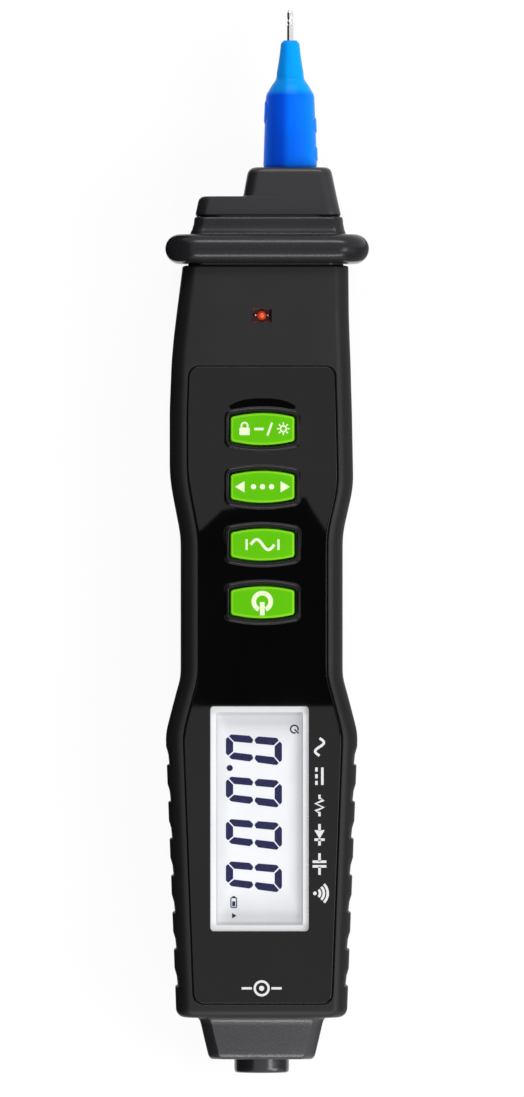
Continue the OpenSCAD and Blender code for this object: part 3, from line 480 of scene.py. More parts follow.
def sleeve_finish(colour, neck, low, high):
    """Blue translucent moulding: lighter at its thin neck, with painted highlights on its right side,
    painted shade left of its middle, and a painted glow.
    """
    # The emission makes the whole sleeve glow a little: painted light that lifts its shaded side.
    f = Finish("sleeve_bright_blue", {"Specular IOR Level": 0.05, "Emission Strength": 0.16})
    x, y, _ = f.axes()
    across = (x - PROBE_X) / (5 * MM)
    thin = f.band(y, low, high)
    flow = f.noise(1.2 * MM, 3, (1, 8, 1))
    body = f.mix(flow, shade(colour, 0.9), shade(colour, 1.1))
    # Painted highlight: the sleeve's right side is mixed towards the lighter blue.
    body = f.mix(f.band(across, 0.2, 1.1) * 0.6, body, f.mix(flow, neck, shade(neck, 0.8)))
    # Painted shade: a deep blue band left of the middle, below the neck.
    painted_shade = (1 - f.band(abs(across + 0.5), 0.15, 0.5)) * (1 - thin)
    deep = (colour[0] * 0.5, colour[1] * 0.25, colour[2] * 0.6)
    body = f.mix(painted_shade * 0.7, body, deep)
    # The neck is darker on its left and lighter on its right: painted shade and painted highlight.
    skin = f.mix(thin, body, f.mix(f.band(across, -0.3, -0.05), shade(neck, 0.75), neck))
    # Base colour and glow both carry the painted highlight and painted shade.
    f.lit(skin)
    f.link("Roughness", 0.3 + (flow - 0.5) * 0.12)
    f.bump(flow, 0.06, 0.03 * MM)
    return f.material


def turned_metal_finish(name, colour, roughness=0.16, pitch=0.12 * MM):
    """Plated or bare turned metal, with the lathe's fine rings along the pen."""
    f = Finish(name)
    _, y, _ = f.axes()
    rings = (y * (TAU / pitch) + f.noise(1 * MM, 2) * 2.0).wave() * 0.5 + 0.5
    stain = f.noise(2 * MM, 3)
    f.tones(stain, colour, 0.88, 1.08)
    f.link("Metallic", 0.94 + stain * 0.06)
    f.link("Roughness", roughness + rings * 0.05 + (stain - 0.5) * 0.1)
    f.bump(rings, 0.025, 0.006 * MM)
    return f.material


def sheet_metal_finish(name, colour, roughness=0.3):
    """Rolled or plated metal with faint brushed lines and handling marks."""
    f = Finish(name)
    lines = f.noise(0.15 * MM, 3, (12, 1, 1))
    stain = f.noise(3 * MM, 3)
    f.tones(stain, colour, 0.85, 1.1)
    f.link("Metallic", 0.92 + stain * 0.08)
    f.link("Roughness", roughness + (lines - 0.5) * 0.2 + (stain - 0.5) * 0.1)
    f.bump(lines, 0.08, 0.01 * MM)
    return f.material


def lamp_finish(colour):
    """Tinted lamp: clear orange-red resin that glows a little from its chip."""
    f = Finish("lamp_orange_red", {"Specular IOR Level": 0.5, "Emission Strength": 0.35})
    swirl = f.noise(0.5 * MM, 3)
    glow = f.mix(swirl, shade(colour, 0.6), shade(colour, 1.3))
    f.lit(glow)
    f.link("Roughness", 0.12 + swirl * 0.1)
    return f.material


def jacket_finish(low, high):
    """Printed cell jacket: copper with a dark band round its middle, and bare steel ends."""
    f = Finish("cell_jacket_print")
    _, y, _ = f.axes()
    share = (y - low) / (high - low)
    scuff = f.noise(2 * MM, 4)
    copper = f.band(abs(share - 0.5), 0.2, 0.21)
    steel = f.band(abs(share - 0.5), 0.487, 0.489)
    print_colour = f.mix(copper, (0.012, 0.012, 0.014), (0.58, 0.25, 0.07))
    f.link("Base Color", f.mix(steel, f.mix(scuff * 0.2, print_colour, (0.2, 0.2, 0.2)),
                               (0.6, 0.6, 0.58)))
    f.link("Metallic", copper * 0.75)
    f.link("Roughness", 0.28 + scuff * 0.15)
    f.bump(scuff, 0.05, 0.02 * MM)
    return f.material


def board_finish():
    """Circuit board: green mask over lighter tracks, with tinned pads."""
    f = Finish("board_green_mask", {"Specular IOR Level": 0.5})
    x, y, _ = f.axes()
    tracks = (x * (TAU / (2.4 * MM))).wave().above(0.72)
    tracks = tracks.over((y * (TAU / (3.1 * MM))).wave().above(0.8))
    gate = f.noise(6 * MM, 1).above(0.5)
    pads = 1 - f.cells(2.6 * MM).above(0.14)
    mask = f.mix(tracks * gate, (0.008, 0.11, 0.035), (0.02, 0.2, 0.07))
    f.link("Base Color", f.mix(pads, mask, (0.6, 0.6, 0.56)))
    f.link("Metallic", pads * 0.8)
    f.link("Roughness", 0.35 + f.noise(1 * MM, 2) * 0.12)
    f.bump(tracks * gate, 0.25, 0.03 * MM)
    return f.material


def striped_elastomer_finish():
    """Contact strip: dark conducting layers between pink insulating ones."""
    f = Finish("elastomer_layers", {"Specular IOR Level": 0.2})
    _, y, _ = f.axes()
    layers = (y * (TAU / (0.4 * MM))).wave().above(0.0)
    f.link("Base Color", f.mix(layers, (0.55, 0.28, 0.32), (0.03, 0.03, 0.035)))
    f.link("Roughness", 0.6 + f.noise(0.3 * MM, 2) * 0.15)
    return f.material


def soft_rubber_finish(name, colour):
    """Silicone: dull, slightly milky, with a dusty nap."""
    f = Finish(name, {"Specular IOR Level": 0.25})
    dust = f.noise(0.6 * MM, 4)
    f.tones(dust, colour, 0.85, 1.15)
    f.link("Roughness", 0.62 + (dust - 0.5) * 0.2)
    f.bump(dust, 0.15, 0.03 * MM)
    return f.material


def white_frame_finish():
    """White moulded frame: a little uneven, with a satin grain, and a painted glow though it is no
    lamp.
    """
    f = Finish("frame_white_satin", {"Specular IOR Level": 0.35, "Emission Strength": 0.21})
    pits = f.noise(0.3 * MM, 2)
    colour = f.mix(f.noise(10 * MM, 2), (0.86, 0.87, 0.90), (0.93, 0.94, 0.96))
    # Painted glow: the frame emits its own colour.
    f.lit(colour)
    f.link("Roughness", 0.4 + (pits - 0.5) * 0.15)
    f.bump(pits, 0.08, 0.02 * MM)
    return f.material


# Meshes


def clamp(value, low=0.0, high=1.0):
    return max(low, min(high, value))


def smooth(value):
    value = clamp(value)
    return value * value * (3 - 2 * value)


def lookup(place, table):
    """Straight-line value at a place in a table of (place, value)."""
    if place <= table[0][0]:
        return table[0][1]
    for (x0, v0), (x1, v1) in zip(table, table[1:]):
        if place <= x1:
            return v0 + (v1 - v0) * (place - x0) / (x1 - x0)
    return table[-1][1]


def arc(centre_x, centre_y, rx, ry, start, end, steps):
    """Points of an elliptic arc; angles are in degrees."""
    angles = [math.radians(start + (end - start) * k / steps) for k in range(steps + 1)]
    return [(centre_x + rx * math.cos(a), centre_y + ry * math.sin(a)) for a in angles]


def rounded_rect(left, right, low, high, radius, steps=8):
    """Closed outline with round corners, counterclockwise from the lower right one."""
    corners = [(right - radius, low + radius, -90), (right - radius, high - radius, 0),
               (left + radius, high - radius, 90), (left + radius, low + radius, 180)]
    return [p for x, y, a in corners for p in arc(x, y, radius, radius, a, a + 90, steps)]


def grown_rect(low, high, grow, radius, steps=8):
    """Outline of a box seen from above, grown by a margin."""
    return rounded_rect(low.x - grow, high.x + grow, low.y - grow, high.y + grow, radius, steps)


def rect_about(x, y, half_w, half_l, radius, steps=8):
    return rounded_rect(x - half_w, x + half_w, y - half_l, y + half_l, radius, steps)


def turned_rings(profile, x, other, axis="Y", sides=64, bulge=None):
    """Rings of a turned form; bulge gives what the radius gains at an angle and a place."""
    rings = []
    for radius, at in profile:
        ring = []
        for k in range(sides):
            a = TAU * k / sides
            r = radius + (bulge(a, at) if bulge else 0)
            u, v = x + r * math.cos(a), other + r * math.sin(a)
            ring.append((u, at, v) if axis == "Y" else (u, v, at))
        rings.append(ring)
    return rings


def inside(places, loop):
    """Which of the places, rows of x and y, lie inside a closed loop."""
    x, y = places[:, 0], places[:, 1]
    found = np.zeros(len(places), bool)
    for (x0, y0), (x1, y1) in zip([p[:2] for p in loop], [p[:2] for p in loop[1:] + loop[:1]]):
        if y0 != y1:
            crosses = (y0 > y) != (y1 > y)
            found ^= crosses & (x < (x1 - x0) * (y - y0) / (y1 - y0) + x0)
    return found


class Shape:
    """Points and faces of one piece, added as lofts, turned forms and plates."""

    def __init__(self):
        self.points = []
        self.faces = []

    def add(self, points, faces):
        start = len(self.points)
        self.points += [tuple(p) for p in points]
        self.faces += [tuple(start + i for i in face) for face in faces]
        return self

    def loft(self, rings, loop=False):
        """Skin over closed rings of equal count, capped unless the last one meets the first."""
        count, around = len(rings), len(rings[0])
        faces = []
        for i in range(count if loop else count - 1):
            a, b = i * around, (i + 1) % count * around
            faces += [(a + j, a + (j + 1) % around, b + (j + 1) % around, b + j)
                      for j in range(around)]
        if not loop:
            faces += [tuple(reversed(range(around))),
                      tuple(range((count - 1) * around, count * around))]
        return self.add([p for ring in rings for p in ring], faces)

    def along_y(self, sections, loop=False):
        """Loft through flat sections: pairs of a place along Y and an outline in X and Z."""
        return self.loft([[(x, y, z) for x, z in outline] for y, outline in sections], loop)

    def upright(self, sections, loop=False):
        """Loft through level sections: pairs of a height and an outline in X and Y."""
        return self.loft([[(x, y, z) for x, y in outline] for z, outline in sections], loop)

    def turned(self, profile, x, other, axis="Y", sides=64, loop=False):
        """Form turned about an axis along Y through (x, z), or along Z through (x, y)."""
        return self.loft(turned_rings(profile, x, other, axis, sides), loop)

    def bar(self, radius, x, z, y0, y1, sides=64):
        """Plain round bar along the pen."""
        return self.turned([(0, y0), (radius, y0), (radius, y1), (0, y1)], x, z, "Y", sides)

    def post(self, radius, x, y, z0, z1, sides=48):
        """Plain round bar that stands upright."""
        return self.turned([(0, z0), (radius, z0), (radius, z1), (0, z1)], x, y, "Z", sides)

    def stroke(self, path, width, low, high, closed=False):
        """Flat ribbon along a path of (x, y), with mitred joints."""
        rings = []
        count = len(path)
        for i, (x, y) in enumerate(path):
            before = path[i - 1] if closed or i else path[i]
            after = path[(i + 1) % count] if closed or i < count - 1 else path[i]
            tx, ty = after[0] - before[0], after[1] - before[1]
            size = math.hypot(tx, ty) or 1.0
            nx, ny = -ty / size * width / 2, tx / size * width / 2
            rings.append([(x + nx, y + ny, low), (x + nx, y + ny, high),
                          (x - nx, y - ny, high), (x - nx, y - ny, low)])
        return self.loft(rings, closed)

    def prism(self, outline, low, high):
        return self.upright([(low, outline), (high, outline)])

    def plate(self, outer, holes, free, low):
        """Sheet whose upper side passes through loops of (x, y, z), over a flat lower side.

        outer holds nested loops with the outermost first, holes holds such a list for each hole
        with its edge first, and free holds single points."""
        points, edges = [], []
        for loop in outer + [l for hole in holes for l in hole]:
            start, count = len(points), len(loop)
            points += loop
            edges += [(start + i, start + (i + 1) % count) for i in range(count)]
        points += free
        flat = [Vector((p[0] / MM, p[1] / MM)) for p in points]
        spots, _, triangles, origins = delaunay_2d_cdt(flat, edges, [], 0, 1e-5, True)[:4]
        xy = np.array([(s.x * MM, s.y * MM) for s in spots])
        heights = [points[ids[0]][2] if ids else outer[0][0][2] for ids in origins]
        middles = xy[np.array(triangles)].mean(axis=1)
        keep = inside(middles, outer[0])
        for hole in holes:
            keep &= ~inside(middles, hole[0])
        kept = [t for t, k in zip(triangles, keep) if k]
        self.add([(x, y, z) for (x, y), z in zip(xy, heights)], kept)
        self.add([(x, y, low) for x, y in xy], [tuple(reversed(t)) for t in kept])
        for loop in [outer[0]] + [hole[0] for hole in holes]:
            count = len(loop)
            walls = [(i, (i + 1) % count, count + (i + 1) % count, count + i) for i in range(count)]
            self.add([(p[0], p[1], low) for p in loop] + loop, walls)
        return self

    def piece(self, name, finish=None, angle=SMOOTH):
        """The mesh object, its doubles merged, its faces outwards, smooth up to an angle."""
        mesh = bpy.data.meshes.new(name)
        mesh.from_pydata(self.points, [], self.faces)
        tidy(mesh)
        if finish:
            mesh.materials.append(finish)
        smooth_up_to(mesh, angle)
        return new_object(name, mesh)


class Ink(Shape):
    """Flat signs between two heights, drawn in millimetres about a place on the pen."""

    def __init__(self, low, high, x=0.0, y=0.0):
        super().__init__()
        self.low, self.high = low, high
        self.at(x, y)

    def at(self, x, y):
        self.x, self.y = x, y

    def spots(self, path):
        return [(self.x + u * MM, self.y + v * MM) for u, v in path]

    def line(self, path, width, closed=False):
        return self.stroke(self.spots(path), width * MM, self.low, self.high, closed)

    def solid(self, outline):
        return self.prism(self.spots(outline), self.low, self.high)

    def power(self, u, v, radius, width, way=-90.0):
        """Ring broken by a bar that points the given way."""
        a = math.radians(way)
        self.line(circle(u, v, radius, 40, way + 24, 312), width)
        self.line([(u + radius * t * math.cos(a), v + radius * t * math.sin(a))
                   for t in (0.05, 1.62)], width)

    def sun(self, u, v, radius):
        """Small ring with eight rays."""
        self.line(circle(u, v, radius * 0.45, 24), radius * 0.24, closed=True)
        for i in range(8):
            a = TAU * i / 8
            self.line([(u + radius * t * math.cos(a), v + radius * t * math.sin(a))
                       for t in (0.62, 1.0)],
                      radius * 0.2)

    def lock(self, u, v, size):
        """Padlock: a rounded body under a bow."""
        self.solid(rounded_rect(u - size * 0.5, u + size * 0.5, v - size * 0.62, v + size * 0.12,
                                size * 0.1, 3))
        bow = circle(u, v + size * 0.3, size * 0.3, 14, 0, 180)
        self.line([(u + size * 0.3, v + size * 0.1)] + bow + [(u - size * 0.3, v + size * 0.1)],
                  size * 0.17)

    def arrow(self, u, v, size, way):
        """Solid triangle that points left or right."""
        points = [(u + way * size, v), (u - way * size * 0.6, v + size * 0.95),
                  (u - way * size * 0.6, v - size * 0.95)]
        self.solid(points if way > 0 else points[::-1])


def new_object(name, data):
    """An object in the scene that holds the data."""
    made = bpy.data.objects.new(name, data)
    bpy.context.scene.collection.objects.link(made)
    return made


def as_piece(thing, name):
    """The mesh object of a shape; an object is taken as it is."""
    return thing if isinstance(thing, bpy.types.Object) else thing.piece(name)


def tidy(mesh):
    """Merges doubles, drops loose points and turns the faces outwards."""
    work = bmesh.new()
    work.from_mesh(mesh)
    bmesh.ops.remove_doubles(work, verts=work.verts, dist=0.001 * MM)
    bmesh.ops.delete(work, geom=[v for v in work.verts if not v.link_faces], context="VERTS")
    bmesh.ops.recalc_face_normals(work, faces=work.faces)
    work.to_mesh(mesh)
    work.free()


def smooth_up_to(mesh, angle):
    mesh.shade_smooth()
    mesh.set_sharp_from_angle(angle=math.radians(angle))


def settle(piece, angle=None):
    """Makes what the modifiers give the piece's own mesh."""
    bpy.context.view_layer.update()
    seen = piece.evaluated_get(bpy.context.evaluated_depsgraph_get())
    mesh = bpy.data.meshes.new_from_object(seen)
    piece.modifiers.clear()
    piece.data = mesh
    if angle:
        tidy(mesh)
        smooth_up_to(mesh, angle)
    return piece


def carve(piece, things, operation="DIFFERENCE", angle=SMOOTH):
    """Cuts shapes or pieces out of a piece, or joins them to it. They are removed afterwards."""
    cutters = [as_piece(thing, "cutter") for thing in things]
    for cutter in cutters:
        modifier = piece.modifiers.new("carve", "BOOLEAN")
        modifier.operation = operation
        modifier.solver = "EXACT"
        modifier.object = cutter
    settle(piece, angle)
    for cutter in cutters:
        bpy.data.objects.remove(cutter)
    return piece


def place(piece, body, slot, *nodes):
    """Puts a piece on its body and hides the CAD nodes that it stands for; its slot is not used."""
    if nodes:
        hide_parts(*nodes)
    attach(piece, body)
    return piece


def dress(node, finish):
    """Gives a CAD node its finish."""
    mesh = frame["nodes"][node].data
    mesh.materials.clear()
    mesh.materials.append(finish)


# Geometry Nodes


class Tree:
    """A Geometry Nodes tree with named inputs, run once and turned into a plain mesh."""

    def __init__(self, name, inputs):
        self.group = bpy.data.node_groups.new(name, "GeometryNodeTree")
        self.ids = {}
        for label, kind in inputs:
            made = self.group.interface.new_socket(label, in_out="INPUT",
                                                   socket_type="NodeSocket" + kind)
            self.ids[label] = made.identifier
        self.group.interface.new_socket("Geometry", in_out="OUTPUT",
                                        socket_type="NodeSocketGeometry")
        self.inputs = self.group.nodes.new("NodeGroupInput").outputs

    def add(self, kind, settings=None, sockets=None):
        return add_node(self.group, kind, settings, sockets)

    def end(self, geometry):
        """Realized, with its finish, to the tree's output."""
        real = self.add("GeometryNodeRealizeInstances", None, {0: geometry})
        dressed = self.add("GeometryNodeSetMaterial", None,
                           {"Geometry": real.outputs[0], "Material": self.inputs["Finish"]})
        self.add("NodeGroupOutput", None, {0: dressed.outputs[0]})

    def run(self, name, angle=SMOOTH, **values):
        """A piece made by the tree from the values of its inputs."""
        made = new_object(name, bpy.data.meshes.new(name))
        modifier = made.modifiers.new("nodes", "NODES")
        modifier.node_group = self.group
        for label, value in values.items():
            modifier[self.ids[label]] = value
        return settle(made, angle)


def repeat_tree():
    """Rows of copies of a piece: Rows by Row step, each of Count by Step."""
    tree = Tree("rows_of_pieces", [("Piece", "Object"), ("Rows", "Int"), ("Row step", "Vector"),
                                   ("Count", "Int"), ("Step", "Vector"), ("Finish", "Material")])
    line = {"mode": "OFFSET"}
    rows = tree.add("GeometryNodeMeshLine", line,
                    {"Count": tree.inputs["Rows"], "Offset": tree.inputs["Row step"]})
    row = tree.add("GeometryNodeMeshLine", line,
                   {"Count": tree.inputs["Count"], "Offset": tree.inputs["Step"]})
    grid = tree.add("GeometryNodeInstanceOnPoints", None,
                    {"Points": rows.outputs[0], "Instance": row.outputs[0]})
    spots = tree.add("GeometryNodeRealizeInstances", None, {0: grid.outputs[0]})
    copy = tree.add("GeometryNodeObjectInfo", {"transform_space": "ORIGINAL"},
                    {"Object": tree.inputs["Piece"]})
    placed = tree.add("GeometryNodeInstanceOnPoints", None,
                      {"Points": spots.outputs[0], "Instance": copy.outputs["Geometry"]})
    tree.end(placed.outputs[0])
    return tree


def coil_tree():
    """A tapered wire coil that stands on the XY plane."""
    tree = Tree("wire_coil", [("Turns", "Float"), ("Start radius", "Float"),
                              ("End radius", "Float"), ("Height", "Float"),
                              ("Wire", "Float"), ("Finish", "Material")])
    spiral = tree.add("GeometryNodeCurveSpiral", None,
                      {"Resolution": 36, "Rotations": tree.inputs["Turns"],
                       "Start Radius": tree.inputs["Start radius"],
                       "End Radius": tree.inputs["End radius"], "Height": tree.inputs["Height"]})
    ring = tree.add("GeometryNodeCurvePrimitiveCircle", {"mode": "RADIUS"},
                    {"Resolution": 12, "Radius": tree.inputs["Wire"]})
    wire = tree.add("GeometryNodeCurveToMesh", None,
                    {"Curve": spiral.outputs[0], "Profile Curve": ring.outputs[0],
                     "Fill Caps": True})
    tree.end(wire.outputs[0])
    return tree


def repeated(name, thing, finish, count, step, rows=1, row_step=(0, 0, 0)):
    """A piece that holds rows of copies of one shape or piece, which is removed."""
    copy = as_piece(thing, name + "_copy")
    made = repeat_tree().run(name, Piece=copy, Count=count, Step=step, Rows=rows,
                             **{"Row step": row_step}, Finish=finish)
    bpy.data.objects.remove(copy)
    return made


# The two shells


def eased(place, table, reach):
    """Value from a table, averaged over a reach to each side so that its bends are soft."""
    near = [lookup(place + reach * k / 4, table) for k in range(-4, 5)]
    return sum(near) / len(near)


def edge(y, shares, ease):
    """Distance of the shells' edge from the pen's middle line."""
    return BODY_W * eased((y - Y_BODY) / BODY_LEN, shares, ease / BODY_LEN)


def end_inset(y, s):
    """How far the section draws in at the tail end and under the hand guard."""
    low = clamp((Y_BODY + s.end_round - y) / s.end_round)
    high = clamp((y - Y_TOP + s.top_round) / s.top_round)
    tail = s.end_round * (1 - math.sqrt(1 - low * low))
    return tail + s.top_round * (1 - math.sqrt(1 - high * high))


def notch(y, s):
    first = Y_BODY + s.notch_up
    return s.notch_depth * max([lookup((y - first - i * s.notch_pitch) / s.notch_len, NOTCH_SHARES)
                                for i in range(s.notches)] + [0])


def stations(s):
    """Places along the shells: close on the roundings and notches, wider between."""
    step, apart, margin = 0.8 * MM, 0.3 * MM, 0.4 * MM
    tail = [Y_BODY + s.end_round * (1 - math.cos(math.pi / 2 * k / 8)) for k in range(9)]
    notches = [Y_BODY + s.notch_up + i * s.notch_pitch + s.notch_len * t
               for i in range(s.notches) for t in NOTCH_STEPS]
    rim = [Y_TOP - s.top_round * math.cos(math.pi / 2 * k / 5) for k in range(6)]
    plain = [Y_BODY + step * k for k in range(1, int(BODY_LEN / step) + 1)]
    plain = [y for y in plain if tail[-1] + margin < y < rim[0] - margin
             and all(abs(y - n) > apart for n in notches)]
    return sorted(tail + notches + rim + plain)


def shell_section(y, s, front, draw=0.0, notched=True):
    """Closed outline of half the housing at a place along the pen, drawn in by a wall."""
    inset = draw or end_inset(y, s)
    left = edge(y, LEFT_SHARES, s.ease) - inset
    right = edge(y, RIGHT_SHARES, s.ease) - inset
    share = (y - Y_BODY) / BODY_LEN
    depth = notch(y, s) if notched else 0.0
    turn = 1 if front else -1
    z = BODY_H * lookup(share, FRONT_SHARES if front else BACK_SHARES) - turn * inset
    rx = (s.front_round_x if front else s.back_round_x) - draw / 2
    rz = (s.front_round_z if front else s.back_round_z) - draw / 2
    groove = 0.0 if draw else s.seam
    side_z = z - turn * rz
    foot, rise = SEAM_Z + turn * groove, side_z - SEAM_Z - turn * groove
    half = [(0.0, foot + rise * t, depth) for t in (0.0, 0.06, 0.2, 0.45, 0.7, 1.0)]
    for k in range(1, 13):
        a = math.pi / 2 * k / 12
        fade = 1 - smooth((k / 12 - 0.15) / 0.5)
        half.append((rx * (1 - math.cos(a)), side_z + turn * rz * math.sin(a), depth * fade))
    right_side = [(right - d - n, h) for d, h, n in half]
    left_side = [(-left + d + n, h) for d, h, n in half]
    if groove:
        lip = SEAM_Z + turn * 0.01 * MM
        right_side.insert(0, (right - groove - depth, lip))
        left_side.insert(0, (-left + groove + depth, lip))
    x0, x1 = right_side[-1][0], left_side[-1][0]
    ring = right_side + [(x0 + (x1 - x0) * t / 6, z) for t in range(1, 6)] + left_side[::-1]
    return ring if front else ring[::-1]


def shell_solid(s, front, finish, name):
    """Half the housing, and its hollow as a cutter that runs past the seam."""
    turn = 1 if front else -1
    places = stations(s)
    made = Shape().along_y([(y, shell_section(y, s, front)) for y in places]).piece(name, finish)
    places = [Y_BODY + s.end_wall] + [y for y in places if y > Y_BODY + 2 * s.end_wall][::5]
    sections = []
    for y in places + [Y_TOP + PAST]:
        ring = shell_section(y, s, front, s.wall, False)
        sections.append((y, [(x, z if abs(z - SEAM_Z) > 0.02 * MM else SEAM_Z - turn * MM)
                             for x, z in ring]))
    return made, Shape().along_y(sections)


def spigot_hole(s):
    """Hole in the end wall for the tail's spigot."""
    return Shape().bar(SPIGOT_R, MID_X, SEAM_Z, Y_BODY - PAST, Y_BODY + s.end_wall + PAST)


def panel_outline(s, p, grow):
    """Outline of the face panel, which follows the shells' edges."""
    low, high = PANEL_LOW.y - grow, PANEL_HIGH.y + grow
    radius = p.corner + grow
    count = 60
    ys = [low + radius + (high - low - 2 * radius) * k / count for k in range(count + 1)]
    right = [(edge(y, RIGHT_SHARES, s.ease) - p.right + grow, y) for y in ys]
    left = [(-edge(y, LEFT_SHARES, s.ease) + p.left - grow, y) for y in ys]

    def corner(point, way, start):
        return arc(point[0] + way * radius, point[1], radius, radius, start, start + 90, 8)

    return (corner(right[0], -1, -90)[:-1] + right + corner(right[-1], -1, 0)[1:]
            + corner(left[-1], 1, 90)[:-1] + left[::-1] + corner(left[0], 1, 180)[1:])


def middle_of(node):
    low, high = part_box(node)
    return (low + high) / 2


def key_loop(k, grow, middle):
    """Rectangle with bowed long edges and round corners about a key's middle, grown by a margin."""
    low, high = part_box(KEYS[0])
    half_w = (high.x - low.x) / 2 - k.flange + grow
    half_l = (high.y - low.y) / 2 - k.flange + grow
    side = half_l - k.bow
    radius = max(0.12 * MM, k.corner + grow * 0.65)
    right = arc(half_w - radius, side - radius, radius, radius, 0, 78, 5)
    span = half_w - radius
    bow = [(span * t, side + k.bow * (1 - t * t)) for t in [1 - 2 * i / 14 for i in range(1, 14)]]
    left = [(-x, y) for x, y in reversed(right)]
    top = right + bow + left
    return [(middle.x + x, middle.y + y) for x, y in top + [(-x, -y) for x, y in top]]


def make_front_shell(m):
    """Front half with the panel's recess and the openings for keys, display and lamp."""
    s, p, k = m.shell, m.panel, m.keys
    finish = moulded_finish("shell_satin_black", m.colours.shell, 0.5)
    made, core = shell_solid(s, True, finish, "front_housing")
    gap, flare = s.recess_gap, s.recess_flare
    recess = Shape().upright([(z, panel_outline(s, p, gap + share * flare)) for z, share in [
        (Z_PANEL, 0), (Z_FACE - 1.6 * flare, 0), (Z_FACE - 0.5 * flare, 0.35), (Z_FACE, 1),
        (Z_FACE + PAST, 1)]])
    below = Z_FACE - s.wall - PAST
    openings = Shape()
    for node in KEYS:
        openings.prism(key_loop(k, 2 * k.gap, middle_of(node)), below, Z_FACE)
    openings.prism(grown_rect(LENS_LOW, LENS_HIGH, gap, LENS_CORNER), below, Z_FACE)
    lamp = (LAMP_LOW + LAMP_HIGH) / 2
    half_w, half_l = s.lamp_window_w / 2, s.lamp_window_l / 2
    window = Shape().upright([
        (z, rect_about(lamp.x, lamp.y, half_w + g, half_l + g, 0.25 * MM + g, 3))
        for z, g in [(below, 0.0), (Z_FACE - 0.15 * MM, 0.0), (Z_FACE, 0.1 * MM),
                     (Z_FACE + PAST, 0.1 * MM)]])
    carve(made, [core, recess, openings, window, spigot_hole(s)])
    return place(made, "housing", "shell_black", "front_shell")


def make_back_shell(m):
    """Back half with the battery bay, the screws' posts and the recess of the cover."""
    s = m.shell
    finish = moulded_finish("shell_satin_black_back", shade(m.colours.shell, 0.95), 0.5)
    made, core = shell_solid(s, False, finish, "back_housing")
    carve(made, [core])
    side, wall, gap = 0.6 * MM, 1.2 * MM, 0.15 * MM
    plate_low, plate_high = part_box("battery_plates")
    bay_x0, bay_x1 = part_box("battery_left")[0].x - side, CELL_HIGH.x + side
    bay_y0, bay_y1 = plate_low.y, plate_high.y
    roof = CELL_HIGH.z + 0.3 * MM
    inner_z = s.wall - 0.4 * MM
    screw = middle_of("battery_screw")
    block = Shape().prism(rounded_rect(bay_x0 - wall, bay_x1 + wall, bay_y0 - wall, bay_y1 + wall,
                                       0.5 * MM, 3),
                          inner_z, roof + wall)
    column = Shape().post(5.2 * MM, screw.x, screw.y, inner_z, 9 * MM)
    posts = Shape()
    for x, y in SCREW_SPOTS:
        posts.post(3.2 * MM, x, y, inner_z, SEAM_Z - 0.05 * MM)
    carve(made, [block, column, posts], "UNION")
    room = Shape().prism(rounded_rect(bay_x0, bay_x1, bay_y0, bay_y1, 0.4 * MM, 3), s.wall, roof)
    cover_t = 1.55 * MM
    x0, x1 = COVER_LOW.x - gap, COVER_HIGH.x + gap
    y0, y1 = COVER_LOW.y + COVER_LUG - gap, COVER_HIGH.y + gap
    ledge = Shape().upright([(z, rounded_rect(x0 - g, x1 + g, y0 - g, y1 + g, 1.65 * MM + g, 6))
                             for z, g in [(-PAST, 0.2 * MM), (0.0, 0.2 * MM), (0.2 * MM, 0.0),
                                          (cover_t, 0.0)]])
    mouth = Shape().prism(rounded_rect(bay_x0, bay_x1, y0, bay_y1, 0.4 * MM, 3), -PAST,
                          s.wall + PAST)
    pad = Shape().post(3.9 * MM, screw.x, screw.y, -PAST, 3.15 * MM, 64)
    bore = Shape().post(1.6 * MM, screw.x, screw.y, 0, 7.8 * MM)
    finger = Shape().upright([(z, rounded_rect(screw.x - w, screw.x + w, y1 - 0.5 * MM, y1 + l, r,
                                               6))
                              for z, w, l, r in [(-PAST, 5.6 * MM, 2.6 * MM, 1.2 * MM),
                                                 (0, 5.2 * MM, 2.2 * MM, 1.1 * MM),
                                                 (0.7 * MM, 4.2 * MM, 0.6 * MM, 0.5 * MM)]])
    head, shank, bevel, top = 2.45 * MM, 1.4 * MM, 0.25 * MM, 2.35 * MM
    sunk = Shape()
    for x, y in SCREW_SPOTS:
        sunk.turned([(0, -PAST), (head + bevel, -PAST), (head + bevel, 0), (head, bevel),
                     (head, top), (shank, top), (shank, SEAM_Z + PAST), (0, SEAM_Z + PAST)],
                    x, y, "Z", 48)
    carve(made, [room, mouth, ledge, pad, bore, finger, sunk, spigot_hole(s)])
    return place(made, "housing", "shell_black", "back_shell")


